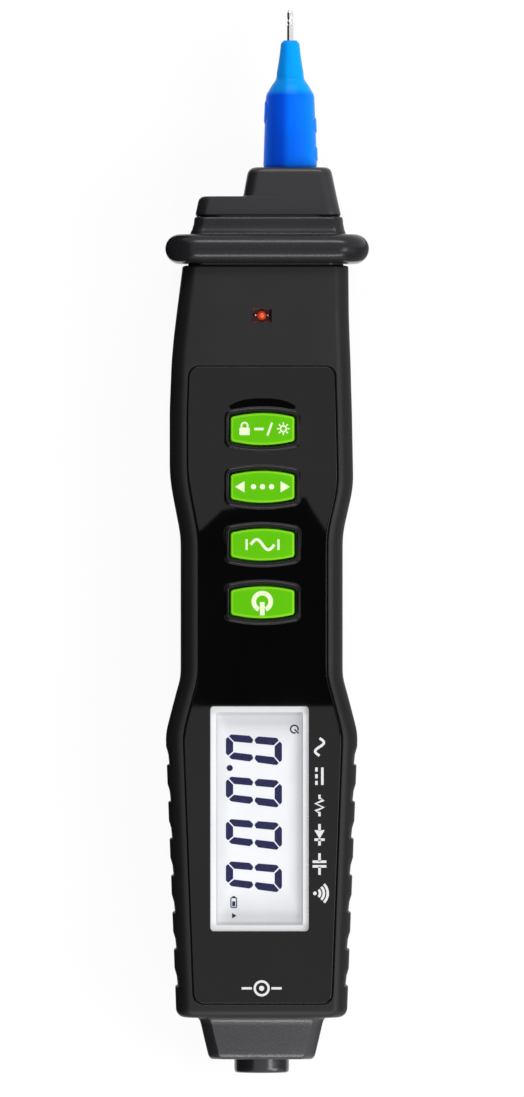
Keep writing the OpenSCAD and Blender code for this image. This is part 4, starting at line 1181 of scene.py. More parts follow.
def make_hand_guard(m):
    """Finger barrier with round ends, and the collar that grows out of it through a fillet."""
    finish = moulded_finish("guard_smooth_black", m.colours.guard, 0.24, 0.35 * MM, 0.08, 0.25)
    bead, corner, fillet, draw = 2.8 * MM, 6.8 * MM, 0.55 * MM, 1.12 * MM
    left, right, top, low_y = GUARD_LOW.x, GUARD_HIGH.x, GUARD_HIGH.z, GUARD_LOW.y
    mid_z = (NOSE_LOW.z + NOSE_HIGH.z) / 2
    collar_left, collar_right, collar_half = -14.9 * MM, 15.25 * MM, 11.5 * MM
    hole_w, hole_h = 13.45 * MM, 10.4 * MM
    foot = low_y - 0.38 * MM
    foot_ring = rounded_rect(-15.4 * MM, 14.9 * MM, 3.2 * MM, 25.4 * MM, 3.6 * MM)
    rings = [(foot, foot_ring), (low_y, foot_ring)]
    for k in range(24):
        a = math.radians(-90 + 180 * k / 24)
        d = bead * (1 - math.cos(a))
        rings.append((low_y + bead + bead * math.sin(a),
                      rounded_rect(left + d, right - d, d, top - d, corner - d)))
    start = low_y + 2 * bead
    height = GUARD_HIGH.y - start

    def collar(y, d_left, d_right, d_z, radius):
        """Adds a section of the collar, drawn in by the given lengths."""
        rings.append((y, rounded_rect(collar_left + d_left, collar_right - d_right,
                                      mid_z - collar_half + d_z, mid_z + collar_half - d_z,
                                      radius)))

    for k in range(7):
        a = math.pi / 2 * k / 6
        out = fillet * (1 - math.sin(a))
        collar(start - 0.12 * MM + fillet * (1 - math.cos(a)), -out, -out, -out, 2.6 * MM + out)
    for t, share in [(0.25, 0.22), (0.6, 0.53), (0.86, 0.61), (0.95, 0.7), (0.985, 0.81),
                     (1.0, 1.0)]:
        d = draw * share
        collar(start + height * t, d, d * 0.7, d, 2.5 * MM)
    hole = rounded_rect(-hole_w, hole_w, mid_z - hole_h + 0.3 * MM, mid_z + hole_h - 0.3 * MM,
                        2 * MM)
    neck = rounded_rect(-13.6 * MM, 13.4 * MM, mid_z - hole_h, mid_z + hole_h, 5 * MM)
    rings += [(GUARD_HIGH.y, hole), (GUARD_HIGH.y - 0.6 * MM, neck), (foot, neck)]
    made = Shape().along_y(rings, loop=True).piece("finger_guard", finish, 40)
    return place(made, "housing", "guard_black", "hand_guard")


def make_nose(m):
    """Nose with its step at the left, its front running through in one surface."""
    finish = moulded_finish("nose_smooth_black", shade(m.colours.guard, 1.1), 0.33, 0.35 * MM, 0.14,
                            0.38)
    y0 = NOSE_HIGH.y - 9.5 * MM
    step = y0 + 3.8 * MM
    mid_z = (NOSE_LOW.z + NOSE_HIGH.z) / 2
    half = (NOSE_HIGH.z - NOSE_LOW.z) / 2
    # Place, left side, right side and how far front and back draw in, in millimetres
    low = [(0.0, -13.55, 14.0, 0.45), (0.08, -13.8, 14.2, 0.2), (0.3, -13.95, 14.34, 0.04),
           (0.6, -13.92, 14.30, 0.0), (2.0, -13.62, 13.98, 0.12), (2.9, -13.42, 13.78, 0.22),
           (3.3, -13.22, 13.70, 0.25), (3.6, -12.90, 13.63, 0.28), (3.75, -12.62, 13.60, 0.29),
           (3.8, -12.25, 13.58, 0.30)]
    high = [(0.0, -4.95, 13.56, 0.30), (0.15, -4.70, 13.54, 0.31), (0.4, -4.58, 13.50, 0.33),
            (2.5, -4.22, 13.06, 0.50), (4.4, -3.85, 12.66, 0.66), (4.95, -3.62, 12.50, 0.76),
            (5.35, -3.25, 12.20, 1.0), (5.6, -2.80, 11.80, 1.35), (5.7, -2.35, 11.35, 1.8)]
    rings = [(start + y * MM, rounded_rect(l * MM, r * MM, mid_z - half + d * MM,
                                           mid_z + half - d * MM, 2.7 * MM, 10))
             for start, table in [(y0, low), (step, high)] for y, l, r, d in table]
    made = Shape().along_y(rings).piece("nose", finish)
    inner = rounded_rect(-13.2 * MM, 13.0 * MM, mid_z - 10 * MM, mid_z + 10 * MM, 4.8 * MM)
    neck = Shape().along_y([(NOSE_LOW.y, inner), (y0 + 0.3 * MM, inner)])
    carve(made, [neck], "UNION", 40)
    bore = Shape().bar(2.25 * MM, PROBE_X, SEAM_Z, NOSE_LOW.y - PAST, NOSE_HIGH.y + PAST)
    carve(made, [bore], angle=40)
    return place(made, "housing", "guard_black", "nose_cap")


def make_tail(m):
    """Tapered tail block with bevelled sides, and the jack's stub with its recess and tube."""
    finish = moulded_finish("tail_textured_black", m.colours.tail, 0.34, 0.4 * MM, 0.8, 0.64, 3.0)
    low, high = TAIL_LOW.y, Y_BODY
    mid_z = (TAIL_LOW.z + TAIL_HIGH.z) / 2
    half_h = (TAIL_HIGH.z - TAIL_LOW.z) / 2
    half_w = (TAIL_HIGH.x - TAIL_LOW.x) / 2
    rings = []
    for t, d in [(0.0, 2.2), (0.012, 2.0), (0.045, 1.72), (0.09, 1.5), (0.15, 1.36), (0.5, 0.68),
                 (0.8, 0.12), (0.9, -0.1), (0.96, -0.35), (1.0, -0.7)]:
        d = d * MM
        left, right = MID_X - half_w + d, MID_X + half_w - d
        bottom, top = mid_z - half_h + d, mid_z + half_h - d
        outline = []
        for x, z, sx, sz, order in [(right, bottom, -1, 1, -1), (right, top, -1, -1, 1),
                                    (left, top, 1, -1, -1), (left, bottom, 1, 1, 1)]:
            outline += bevel_points(x, z, sx, sz, 2.1 * MM, 2.6 * MM)[::order]
        rings.append((low + (high - low) * t, outline))
    block = Shape().along_y(rings).piece("tail_block", finish)
    cut = Shape().bar((STUB_HIGH.x - STUB_LOW.x) / 2 - 1.2 * MM, MID_X, SEAM_Z, low - PAST,
                      high + PAST, 96)
    carve(block, [cut], angle=24)
    outer, inner, y0, y1 = 7.0 * MM, 5.4 * MM, high - 0.3 * MM, high + 3.3 * MM
    spigot = Shape().turned([(outer, y0), (outer, y1), (inner, y1), (inner, y0)], MID_X, SEAM_Z,
                            loop=True)
    carve(block, [spigot], "UNION", 24)
    place(block, "housing", "tail_black", "tail_cap")

    r, recess, tube, inner = 5.35 * MM, 4.15 * MM, 2.65 * MM, 5.0 * MM
    y, y_in, root, lip = STUB_LOW.y, STUB_HIGH.y, high + 2 * MM, 0.45 * MM
    floor = y_in - 5.3 * MM
    stub = Shape().turned([
        (r, root), (r, y + 2.2 * lip), (r - 0.06 * lip, y + 1.2 * lip),
        (r - 0.3 * lip, y + 0.45 * lip), (r - 0.75 * lip, y + 0.08 * lip), (r - lip, y),
        (recess + 0.4 * lip, y), (recess + 0.12 * lip, y + 0.12 * lip),
        (recess, y + 0.5 * lip), (recess, floor), (tube, floor), (tube, y_in), (inner, y_in),
        (inner, root)], MID_X, SEAM_Z, sides=128, loop=True)
    stub_finish = moulded_finish("jack_stub_black", shade(m.colours.tail, 1.1), 0.24, 0.3 * MM,
                                 0.08, 0.5)
    place(stub.piece("jack_stub", stub_finish), "housing", "tail_black", "com_shroud")

    outer, bore, rim = 2.6 * MM, 2.0 * MM, 0.2 * MM
    y0, y1 = TUBE_LOW.y, TUBE_HIGH.y
    socket = Shape().turned([
        (outer, y1), (outer, y0 + rim), (outer - 0.3 * rim, y0 + 0.3 * rim), (outer - rim, y0),
        (bore + rim, y0), (bore + 0.3 * rim, y0 + 0.3 * rim), (bore, y0 + 1.2 * rim),
        (bore, y1 - 1.2 * MM), (0, y1 - 0.8 * MM), (0, y1)], MID_X, SEAM_Z, sides=96, loop=True)
    brass = turned_metal_finish("brass_turned", (0.72, 0.5, 0.2), 0.2)
    place(socket.piece("jack_tube", brass), "housing", "brass", "com_tube")


def bevel_points(x, z, sx, sz, wide, deep):
    """A bevelled corner with softened edges, from its side end to its face end."""
    soft = 0.22
    side, face = (x, z + sz * deep), (x + sx * wide, z)
    return [(x, z + sz * deep * (1 + soft)),
            (side[0] + sx * wide * 0.03, side[1] + sz * deep * 0.02),
            (side[0] + sx * wide * 0.14, side[1] - sz * deep * 0.14),
            (face[0] - sx * wide * 0.14, face[1] + sz * deep * 0.14),
            (face[0] + sx * wide * 0.02, face[1] + sz * deep * 0.03),
            (x + sx * wide * (1 + soft), z)]


# Face panel, keys and their marks


def dish(x, y, p):
    """Depth of the finger dish, a shallow crescent that runs in under the top key's rim."""
    key = middle_of(KEYS[0])
    across = abs(x - key.x) / (p.dish_w / 2)
    if across >= 1:
        return 0.0
    up = key.y + p.dish_above - 1.9 * MM * across ** 2.5 - y
    depth = clamp(0.042 * up, 0.0, p.dish_depth)
    return depth * smooth((y - key.y + 2 * MM) / (4 * MM)) * (1 - across ** 6)


def make_panel(m):
    """Glossy panel with a rounded edge, the finger dish and a raised rim round each key."""
    s, p, k = m.shell, m.panel, m.keys
    outer = [[(x, y, Z_FACE - drop * p.edge) for x, y in panel_outline(s, p, -inset * p.edge)]
             for inset, drop in [(0, 1), (0.08, 0.6), (0.29, 0.29), (0.6, 0.08), (1, 0), (1.6, 0),
                                 (3.2, 0)]]
    holes = []
    rim = [(0.0, -0.35), (0.02, 0.2), (0.1, 0.7), (0.24, 0.93), (0.45, 1.0), (0.7, 1.0),
           (0.85, 0.86), (0.95, 0.6), (1.02, 0.3), (1.09, 0.08), (1.16, 0.0), (1.3, 0.0),
           (1.6, 0.0)]
    for node in KEYS:
        middle = middle_of(node)
        holes.append([[(x, y, Z_FACE + up * k.rim_up - dish(x, y, p) * smooth((out - 0.9) / 0.3))
                       for x, y in key_loop(k, k.gap + out * k.rim, middle)] for out, up in rim])
    lens = [(0.05 * MM, -0.12 * MM), (0.1 * MM, -0.03 * MM), (0.18 * MM, 0.0), (0.3 * MM, 0.0),
            (0.8 * MM, 0.0)]
    holes.append([[(x, y, Z_FACE + z)
                   for x, y in grown_rect(LENS_LOW, LENS_HIGH, g, LENS_CORNER + g, 5)]
                  for g, z in lens])
    step = p.grid
    key = middle_of(KEYS[0])
    spots = []
    for j in range(int(6 * MM / step)):
        for i in range(int((p.dish_w + 2 * MM) / step) + 1):
            spots.append((key.x - p.dish_w / 2 - MM + step * (i + 0.5 * (j % 2)),
                          key.y + 2 * MM + j * step))
    along, across = 40, 14
    for j in range(along):
        for i in range(across):
            spots.append((PANEL_LOW.x + (PANEL_HIGH.x - PANEL_LOW.x) * (i + 0.5) / across,
                          PANEL_LOW.y + (PANEL_HIGH.y - PANEL_LOW.y) * (j + 0.5) / along))
    spots = np.array(spots)
    keep = inside(spots, panel_outline(s, p, -4 * p.edge))
    for node in KEYS:
        keep &= ~inside(spots, key_loop(k, k.gap + 1.8 * k.rim, middle_of(node)))
    keep &= ~inside(spots, grown_rect(LENS_LOW, LENS_HIGH, 1.2 * MM, MM))
    free = [(x, y, Z_FACE - dish(x, y, p)) for x, y in spots[keep]]
    made = Shape().plate(outer, holes, free, Z_PANEL).piece("face_plate",
                                                            gloss_panel_finish(m.colours.panel), 50)
    return place(made, "housing", "panel_gloss", "face_panel")


def make_keys(m):
    """Four keys with rounded edges and a painted highlight along their border, on their flanges and
    plungers.
    """
    k = m.keys
    finish = key_finish(m.colours.key, m.colours.key_edge_highlight)
    for node in KEYS:
        low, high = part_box(node)
        middle = (low + high) / 2
        top = high.z
        flange = Z_FACE - m.shell.wall - 0.2 * MM
        plunger = [(middle.x + (x - middle.x) * 0.62, middle.y + (y - middle.y) * 0.52)
                   for x, y in key_loop(k, 0, middle)]
        e = k.edge
        levels = [(k.flange, flange - k.flange_t), (k.flange, flange), (0, flange), (0, top - e)]
        levels += [(-e * (1 - math.cos(a)), top - e * (1 - math.sin(a)))
                   for a in [math.pi / 2 * i / 5 for i in range(1, 6)]]
        levels += [(-e - 0.12 * MM, top + 0.002 * MM), (-e - 0.2 * MM, top + 0.004 * MM),
                   (-0.9 * MM, top + 0.012 * MM), (-1.4 * MM, top + 0.018 * MM),
                   (-2.3 * MM, top + 0.022 * MM)]
        shape = Shape().upright([(low.z, plunger), (flange - k.flange_t, plunger)]
                                + [(z, key_loop(k, g, middle)) for g, z in levels])
        made = shape.piece(BODIES[node] + "_cap", finish, 50)
        mark_painted_highlight(made.data, top, e)
        place(made, BODIES[node], "key_green", node)


def mark_painted_highlight(mesh, top, size):
    """Writes how near each point is to the rounded edge, for the finish's painted highlight."""
    values = [1.0 if -0.003 * MM < top - vertex.co.z < 1.2 * size else 0.0
              for vertex in mesh.vertices]
    attribute = mesh.attributes.new("painted_highlight_share", "FLOAT", "POINT")
    attribute.data.foreach_set("value", values)


def circle(x, y, radius, steps=32, start=0.0, sweep=360.0):
    """Points of a circle, or of an arc if the sweep is less."""
    count = steps if sweep == 360 else steps + 1
    angles = [math.radians(start + sweep * k / steps) for k in range(count)]
    return [(x + radius * math.cos(a), y + radius * math.sin(a)) for a in angles]


def sine_path(half_w, half_h, turned=False):
    """One period of a wave about the middle, along X or, turned, along Y."""
    points = [(-half_w + 2 * half_w * i / 28, half_h * math.sin(TAU * i / 28)) for i in range(29)]
    return [(v, -u) for u, v in points] if turned else points


def make_legends(m):
    """Pale pictograms on the keys: lock and lamp, choice of range, wave, and power."""
    finish = ink_finish("legend_pale_ink", m.colours.legend)
    for node in KEYS:
        low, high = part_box(node)
        ink = Ink(high.z + 0.01 * MM, high.z + 0.02 * MM + m.keys.ink, (low.x + high.x) / 2,
                  (low.y + high.y) / 2)
        if node == "key_hold":
            ink.lock(-3.5, 0.05, 2.0)
            ink.line([(-1.6, 0), (0.2, 0)], 0.5)
            ink.line([(0.95, -1.25), (1.85, 1.25)], 0.42)
            ink.sun(4.05, 0.05, 1.25)
        elif node == "key_select":
            for way in (-1, 1):
                ink.arrow(way * 4.2, 0, 1.15, way)
            for i in (-1, 0, 1):
                ink.solid(circle(i * 1.75, 0, 0.52, 24))
        elif node == "key_hertz":
            ink.line(sine_path(2.3, 1.0), 0.55)
            for i in (-1, 1):
                ink.line([(i * 3.1, -1.05), (i * 3.1, 1.05)], 0.42)
        else:
            ink.power(-0.05, 0.15, 1.65, 0.9)
        place(ink.piece(BODIES[node] + "_legend", finish), BODIES[node], "key_green")


def zero_shape(low, high, x, y):
    """The six outer bars of a slanted zero that lies on its side, its top to the right."""
    tall, wide, bar_w, gap, lean, corner = 10.93, 5.05, 1.42, 0.13, 1.15, 0.9
    half, middle, skew = wide / 2, tall / 2, gap * 1.41
    ink = Ink(low, high, x, y)

    def bar_at(points, end, side):
        """Adds a bar, mirrored to its end and side, then leaned."""
        turned = [(tall - u if end else u, side * v) for u, v in points]
        ink.solid([(u, v * (0.94 + 0.12 * u / tall) - lean * (u / tall - 0.5)) for u, v in turned])

    upper = [(0, half - corner - skew), (corner * 0.3, half - corner * 0.6 - skew),
             (corner * 0.5, half - corner * 0.5 - skew), (bar_w, half - bar_w - skew)]
    long = [(corner * 0.5 + skew, half - corner * 0.5), (corner * 0.7 + skew, half - corner * 0.2),
            (corner + skew, half), (middle - gap - bar_w * 0.5, half),
            (middle - gap - bar_w * 0.1, half - bar_w * 0.35), (middle - gap, half - bar_w * 0.6),
            (middle - gap - bar_w * 0.22, half - bar_w), (bar_w + skew, half - bar_w)]
    for end in (0, 1):
        bar_at(upper + [(u, -v) for u, v in upper[::-1]], end, 1)
        for side in (-1, 1):
            bar_at(long, end, side)
    return ink


def make_display(m):
    """Display digits and small marks, and finishes of the window, frame, glass and light guide."""
    c = m.colours
    z0 = GLASS_HIGH.z + 0.005 * MM
    z1 = z0 + 0.03 * MM
    navy = digit_finish(c.digit)
    digit_pitch = 42.3 * 0.1951 * MM  # pixels of the photograph, at its millimetres a pixel
    digits = repeated("display_digits", zero_shape(z0, z1, -8.04 * MM, -40.74 * MM), navy, 4,
                      (0, -digit_pitch, 0))
    place(digits, "housing", "lcd_grey")
    ink = Ink(z0, z1)
    ink.solid(circle(-7.28, -44.43, 0.6, 24))
    ink.power(5.3, -36.85, 0.74, 0.28, -45)
    ink.at(-6.5 * MM, -70.6 * MM)
    ink.line(rounded_rect(-0.55, 0.55, -1.0, 0.9, 0.15, 2), 0.2, closed=True)
    for low, high in [(0.98, 1.2), (-0.75, 0.2)]:
        ink.solid(rounded_rect(-0.3, 0.3, low, high, 0.05, 2))
    ink.arrow(0, -2.6, 0.55, 1)
    place(ink.piece("display_marks", navy), "housing", "lcd_grey")
    border = 1.1 * MM
    half_w = (LENS_HIGH.x - LENS_LOW.x) / 2 - border
    half_l = (LENS_HIGH.y - LENS_LOW.y) / 2 - border
    cover = Shape().upright([
        (z, grown_rect(LENS_LOW, LENS_HIGH, -g, LENS_CORNER - g, 5))
        for z, g in [(LENS_LOW.z + 0.04 * MM, 0.02 * MM), (LENS_HIGH.z - 0.16 * MM, 0.02 * MM),
                     (LENS_HIGH.z - 0.05 * MM, 0.07 * MM), (LENS_HIGH.z, 0.18 * MM)]])
    place(cover.piece("display_window", window_finish()), "housing", "lens_clear", "display_lens")
    dress("lcd_glass", display_finish(c.display, LENS_MID, half_w, half_l))
    dress("display_frame", white_frame_finish())
    dress("backlight", soft_rubber_finish("light_guide_milky", (0.8, 0.8, 0.77)))


def make_panel_print(m):
    """Pale circuit pictograms beside the display, and a jack sign above the tail."""
    ink = Ink(Z_FACE + 0.002 * MM, Z_FACE + 0.03 * MM)
    width = 0.5

    def row(i):
        """Moves to the middle of a sign, counted from the top."""
        ink.at(10.2 * MM, (-40.3 - 5.7 * i) * MM)

    row(0)
    ink.line(sine_path(1.7, 0.85, turned=True), width)
    row(1)
    ink.line([(0.55, 1.7), (0.55, -1.7)], width)
    for i in (-1, 0, 1):
        ink.line([(-0.6, i * 1.3 + 0.4), (-0.6, i * 1.3 - 0.4)], width)
    row(2)
    ink.line([(0, 2.1), (0, 1.4), (0.8, 1.05), (-0.8, 0.35), (0.8, -0.35), (-0.8, -1.05), (0, -1.4),
              (0, -2.1)], width)
    row(3)
    ink.solid([(0, -0.8), (-1.0, 0.9), (1.0, 0.9)])
    ink.line([(-1.0, -0.95), (1.0, -0.95)], width)
    for a, b in [(2.1, 0.8), (-0.9, -2.1)]:
        ink.line([(0, a), (0, b)], width)
    row(4)
    for i in (-1, 1):
        ink.line([(-1.35, i * 0.45), (1.35, i * 0.45)], width)
        ink.line([(0, i * 0.5), (0, i * 2.1)], width)
    row(5)
    ink.solid(circle(-0.9, 0, 0.36, 20))
    for radius in (1.0, 1.75, 2.5):
        ink.line(circle(-0.9, 0, radius, 16, -45, 90), width)
    ink.at(MID_X, -87.3 * MM)
    ink.line(circle(0, 0, 1.35, 48), 0.45, closed=True)
    ink.solid(circle(0, 0, 0.5, 24))
    for side in (-1, 1):
        ink.line([(side * 1.9, 0), (side * 3.9, 0)], 0.45)
    finish = ink_finish("panel_pale_ink", m.colours.print)
    place(ink.piece("panel_signs", finish), "housing", "panel_gloss")


def make_indicator(m):
    """Lamp with a clear dome on its flange, in a dark holder whose seat is painted with the lamp's red
    glow, with two bright spring tips.
    """
    low, high = LAMP_LOW, LAMP_HIGH
    x, y = (low.x + high.x) / 2, (low.y + high.y) / 2
    r, flange, flange_z = 0.8 * MM, 1.3 * MM, low.z + 2 * MM
    bevel = 0.15 * MM
    profile = [(0, low.z), (flange, low.z), (flange, flange_z - bevel), (flange - bevel, flange_z),
               (r, flange_z)]
    lamp = Shape().turned(profile + arc(0, high.z - r, r, r, 0, 90, 12), x, y, "Z", 64)
    place(lamp.piece("indicator_lamp", lamp_finish(m.colours.lamp), 40), "housing", "lamp_red",
          "indicator_led")
    half_w, half_l = m.shell.lamp_window_w / 2, m.shell.lamp_window_l / 2
    floor = Z_FACE - 1.5 * MM
    cup = Shape().upright([(z, rect_about(x, y, half_w - g, half_l - g, 0.2 * MM, 3)) for z, g in [
        (floor - 0.2 * MM, 0.0), (floor + 0.3 * MM, 0.0), (floor, 0.35 * MM)]])
    # The seat's dark red is painted light: the lamp's red glow on the holder round it.
    seat = cup.piece("lamp_seat", moulded_finish("lamp_seat_painted_red_glow", (0.055, 0.008, 0.005),
                                                 0.35))
    carve(seat, [Shape().post(r + 0.05 * MM, x, y, floor - PAST, Z_FACE)])
    place(seat, "housing", "holder_black")
    tip_r = 0.26 * MM
    ball = [(abs(a), b) for a, b in arc(0, floor + tip_r, tip_r, tip_r, -90, 90, 12)]
    tip = Shape().turned(ball, x - 1.2 * MM, y + 0.1 * MM, "Z", 24)
    tin = sheet_metal_finish("tip_tinned", (0.8, 0.78, 0.74), 0.2)
    place(repeated("lamp_tips", tip, tin, 2, (2.4 * MM, 0, 0)), "housing", "nickel")
    dress("led_holder", moulded_finish("holder_flat_black", (0.01, 0.01, 0.01), 0.6))


# Probe


def make_probe(m):
    """Nickel probe with its turned tip, and the blue sleeve with grip ovals on its sides."""
    p = m.probe
    nickel = turned_metal_finish("nickel_turned", (0.74, 0.74, 0.72), 0.09)
    tip, mouth = ROD_HIGH.y, ROD_HIGH.y - p.pin_out
    pin, rod = p.pin_d / 2, p.rod_d / 2
    shank = pin + p.shank_step
    y_step = mouth - 4 * p.rod_d
    profile = [(0, ROD_LOW.y), (rod - 0.15 * MM, ROD_LOW.y), (rod, ROD_LOW.y + 0.15 * MM),
               (rod, y_step - 0.2 * MM), (shank, y_step), (shank, mouth - 0.05 * MM),
               (shank - 0.05 * MM, mouth), (pin, mouth)]
    for share, radius in [(0.0, 1.0), (0.44, 1.0), (0.455, 0.97), (0.465, 0.82), (0.475, 0.74),
                          (0.49, 0.76), (0.505, 0.86), (0.525, 0.94), (0.55, 0.97),
                          (0.575, 0.94), (0.595, 0.86), (0.61, 0.76), (0.625, 0.74),
                          (0.64, 0.84), (0.66, 0.92), (0.70, 0.96), (0.76, 0.985),
                          (0.82, 0.97), (0.85, 0.92), (0.87, 0.85), (0.89, 0.70),
                          (0.92, 0.56), (0.95, 0.40), (0.975, 0.26), (0.99, 0.16), (1.0, 0.07)]:
        profile.append((pin * radius, mouth + p.pin_out * share))
    profile.append((0, tip))
    made = Shape().turned(profile, PROBE_X, SEAM_Z).piece("test_probe", nickel, 40)
    place(made, "housing", "nickel", "probe_rod")

    base, end = SLEEVE_LOW.y, SLEEVE_HIGH.y
    long = end - base
    base_r = (SLEEVE_HIGH.x - SLEEVE_LOW.x) / 2
    shares = [t for t in (0.004 * k for k in range(251)) if t <= 1.0]
    play = 0.07 * MM
    bush_end, bush_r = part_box("probe_bush")[1].y + 0.3 * MM, 2.2 * MM + play
    bore = p.bore / 2
    outer = [(base_r * eased(t, SLEEVE_SHARES, 0.009), base + long * t) for t in shares]
    inner = [(bore + 0.1 * MM, end), (bore, end - 0.15 * MM), (bore, y_step + 0.3 * MM),
             (rod + play, y_step), (rod + play, bush_end), (bush_r, bush_end), (bush_r, base)]

    def grip(angle, y):
        """Raised ovals: one on the left, two on the right."""
        raised = 0.0
        for middle_y, half_y, side in [(83.6, 2.4, math.pi), (81.0, 1.6, 0.0), (75.4, 1.5, 0.0)]:
            turn = (angle - side + math.pi) % TAU - math.pi
            u = turn * base_r / (2.3 * MM)
            v = (y - middle_y * MM) / (half_y * MM)
            raised = max(raised, p.grip * smooth((1.05 - math.hypot(u, v)) / 0.35))
        return raised

    sides = 128
    rings = turned_rings(outer, PROBE_X, SEAM_Z, sides=sides, bulge=grip)
    skin = Shape().loft(rings + turned_rings(inner, PROBE_X, SEAM_Z, sides=sides), loop=True)
    blue = sleeve_finish(m.colours.sleeve, m.colours.sleeve_neck, base + 0.56 * long,
                         base + 0.63 * long)
    place(skin.piece("probe_cover", blue, 40), "sleeve", "sleeve_blue", "probe_sleeve")
    dress("probe_bush", moulded_finish("bush_black", (0.012, 0.012, 0.013), 0.45))
    dress("probe_contact", sheet_metal_finish("contact_brass", (0.72, 0.5, 0.2), 0.28))


# Battery cover, screws and what lies inside


def screw_shape(x, y, head_z, shank_r, reach):
    """Screw with a domed head and a rolled thread, its head down."""
    head_t = 1.2 * MM
    shoulder, end, edge_r = head_z + head_t, head_z + reach, HEAD_R - 0.1 * MM
    pitch, depth = 0.9 * MM, 0.28 * MM
    profile = [(0, head_z), (HEAD_R - 0.35 * MM, head_z), (HEAD_R - 0.12 * MM, head_z + 0.08 * MM),
               (HEAD_R, head_z + 0.3 * MM), (HEAD_R, shoulder - 0.1 * MM), (edge_r, shoulder),
               (shank_r, shoulder)]
    for i in range(int((reach - head_t) / pitch)):
        z = shoulder + pitch * (i + 0.4)
        profile += [(shank_r, z), (shank_r - depth, z + 0.3 * MM), (shank_r - depth, z + 0.45 * MM)]
    profile += [(shank_r, end - 0.35 * MM), (shank_r - 0.35 * MM, end), (0, end)]
    return Shape().turned(profile, x, y, "Z", 48)


def crossed_screw(name, x, y, head_z, reach, finish):
    """A screw with a tapered cross recess in its head."""
    made = screw_shape(x, y, head_z, 1.25 * MM, reach).piece(name, finish)
    for turn in (math.pi / 4, -math.pi / 4):
        carve(made, [recess_bar(x, y, head_z, HEAD_R * 0.62, turn)])
    return made


def make_screws(m):
    """Four alike in the back, and the battery cover's own."""
    steel = sheet_metal_finish("screw_zinc", (0.55, 0.55, 0.57), 0.28)
    x, y, z = SCREW_X[0], SCREW_Y[0], SCREWS_LOW.z
    one = crossed_screw("screw_pattern", x, y, z, SCREWS_HIGH.z - z, steel)
    four = repeated("back_screws", one, steel, 2, (SCREW_X[1] - x, 0, 0), 2, (0, SCREW_Y[1] - y, 0))
    place(four, "housing", "screw_steel", "housing_screws")
    low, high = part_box("battery_screw")
    single = crossed_screw("bay_screw", (low.x + high.x) / 2, (low.y + high.y) / 2, low.z,
                           high.z - low.z, steel)
    place(single, "cover_screw", "screw_steel", "battery_screw")


def recess_bar(x, y, head_z, size, turn):
    """One bar of a tapered cross recess."""
    rings = []
    for z, reach, half in [(head_z - 0.3 * MM, size * 1.1, 0.38 * MM),
                           (head_z + 0.85 * MM, size * 0.45, 0.2 * MM)]:
        corners = [(reach, -half), (reach, half), (-reach, half), (-reach, -half)]
        rings.append([(x + u * math.cos(turn) - v * math.sin(turn),
                       y + u * math.sin(turn) + v * math.cos(turn), z)
                      for u, v in corners])
    return Shape().loft(rings)


def make_battery_cover(m):
    """Cover with softened edges, five grip grooves, an arrow and its screw's counterbore."""
    finish = moulded_finish("cover_satin_black", m.colours.shell, 0.52)
    low, high = COVER_LOW, COVER_HIGH
    x0, x1, y0, y1 = low.x, high.x, low.y + COVER_LUG, high.y
    screw_low, screw_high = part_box("battery_screw")
    sx, sy = (screw_low.x + screw_high.x) / 2, (screw_low.y + screw_high.y) / 2
    cover_t = 1.5 * MM
    made = Shape().upright([
        (z, rounded_rect(x0 + g, x1 - g, y0 + g, y1 - g, 1.5 * MM - g))
        for z, g in [(0.0, 0.3 * MM), (0.04 * MM, 0.16 * MM), (0.14 * MM, 0.05 * MM),
                     (0.3 * MM, 0.0), (cover_t, 0.0)]]).piece("bay_cover", finish)
    pad = Shape().post(3.6 * MM, sx, sy, cover_t / 2, high.z, 64)
    lug_w, lug_top, lug_end = 1.6 * MM, 3.35 * MM, y0 + 1.0 * MM
    lug = [Shape().prism(rounded_rect(sx - lug_w, sx + lug_w, start, lug_end, 0.1 * MM, 2), z,
                         lug_top)
           for start, z in [(y0, cover_t - 0.4 * MM), (low.y, 2.35 * MM)]]
    carve(made, [pad, *lug], "UNION")
    head, bevel, shank, head_top = 2.35 * MM, 0.25 * MM, 1.3 * MM, 1.4 * MM
    bore = Shape().turned([(0, -PAST), (head + bevel, -PAST), (head + bevel, 0), (head, bevel),
                           (head, head_top), (shank, head_top), (shank, high.z + PAST),
                           (0, high.z + PAST)], sx, sy, "Z", 64)
    g_y = sy - 10.8 * MM
    groove = Shape().upright([(z, rect_about(sx, g_y, 6 * MM + g, 0.3 * MM + g, 0.25 * MM + g, 4))
                              for z, g in [(-PAST, 0.18 * MM), (0, 0.18 * MM), (0.32 * MM, 0.0)]])
    grooves = repeated("grip_grooves", groove, finish, 5, (0, -1.5 * MM, 0))
    a_y = g_y - 9.6 * MM
    arrow = Shape().prism([(sx - 2.6 * MM, a_y), (sx, a_y - 3.0 * MM), (sx + 2.6 * MM, a_y)], -PAST,
                          0.25 * MM)
    carve(made, [grooves, bore, arrow])
    place(made, "cover", "shell_black", "battery_cover")


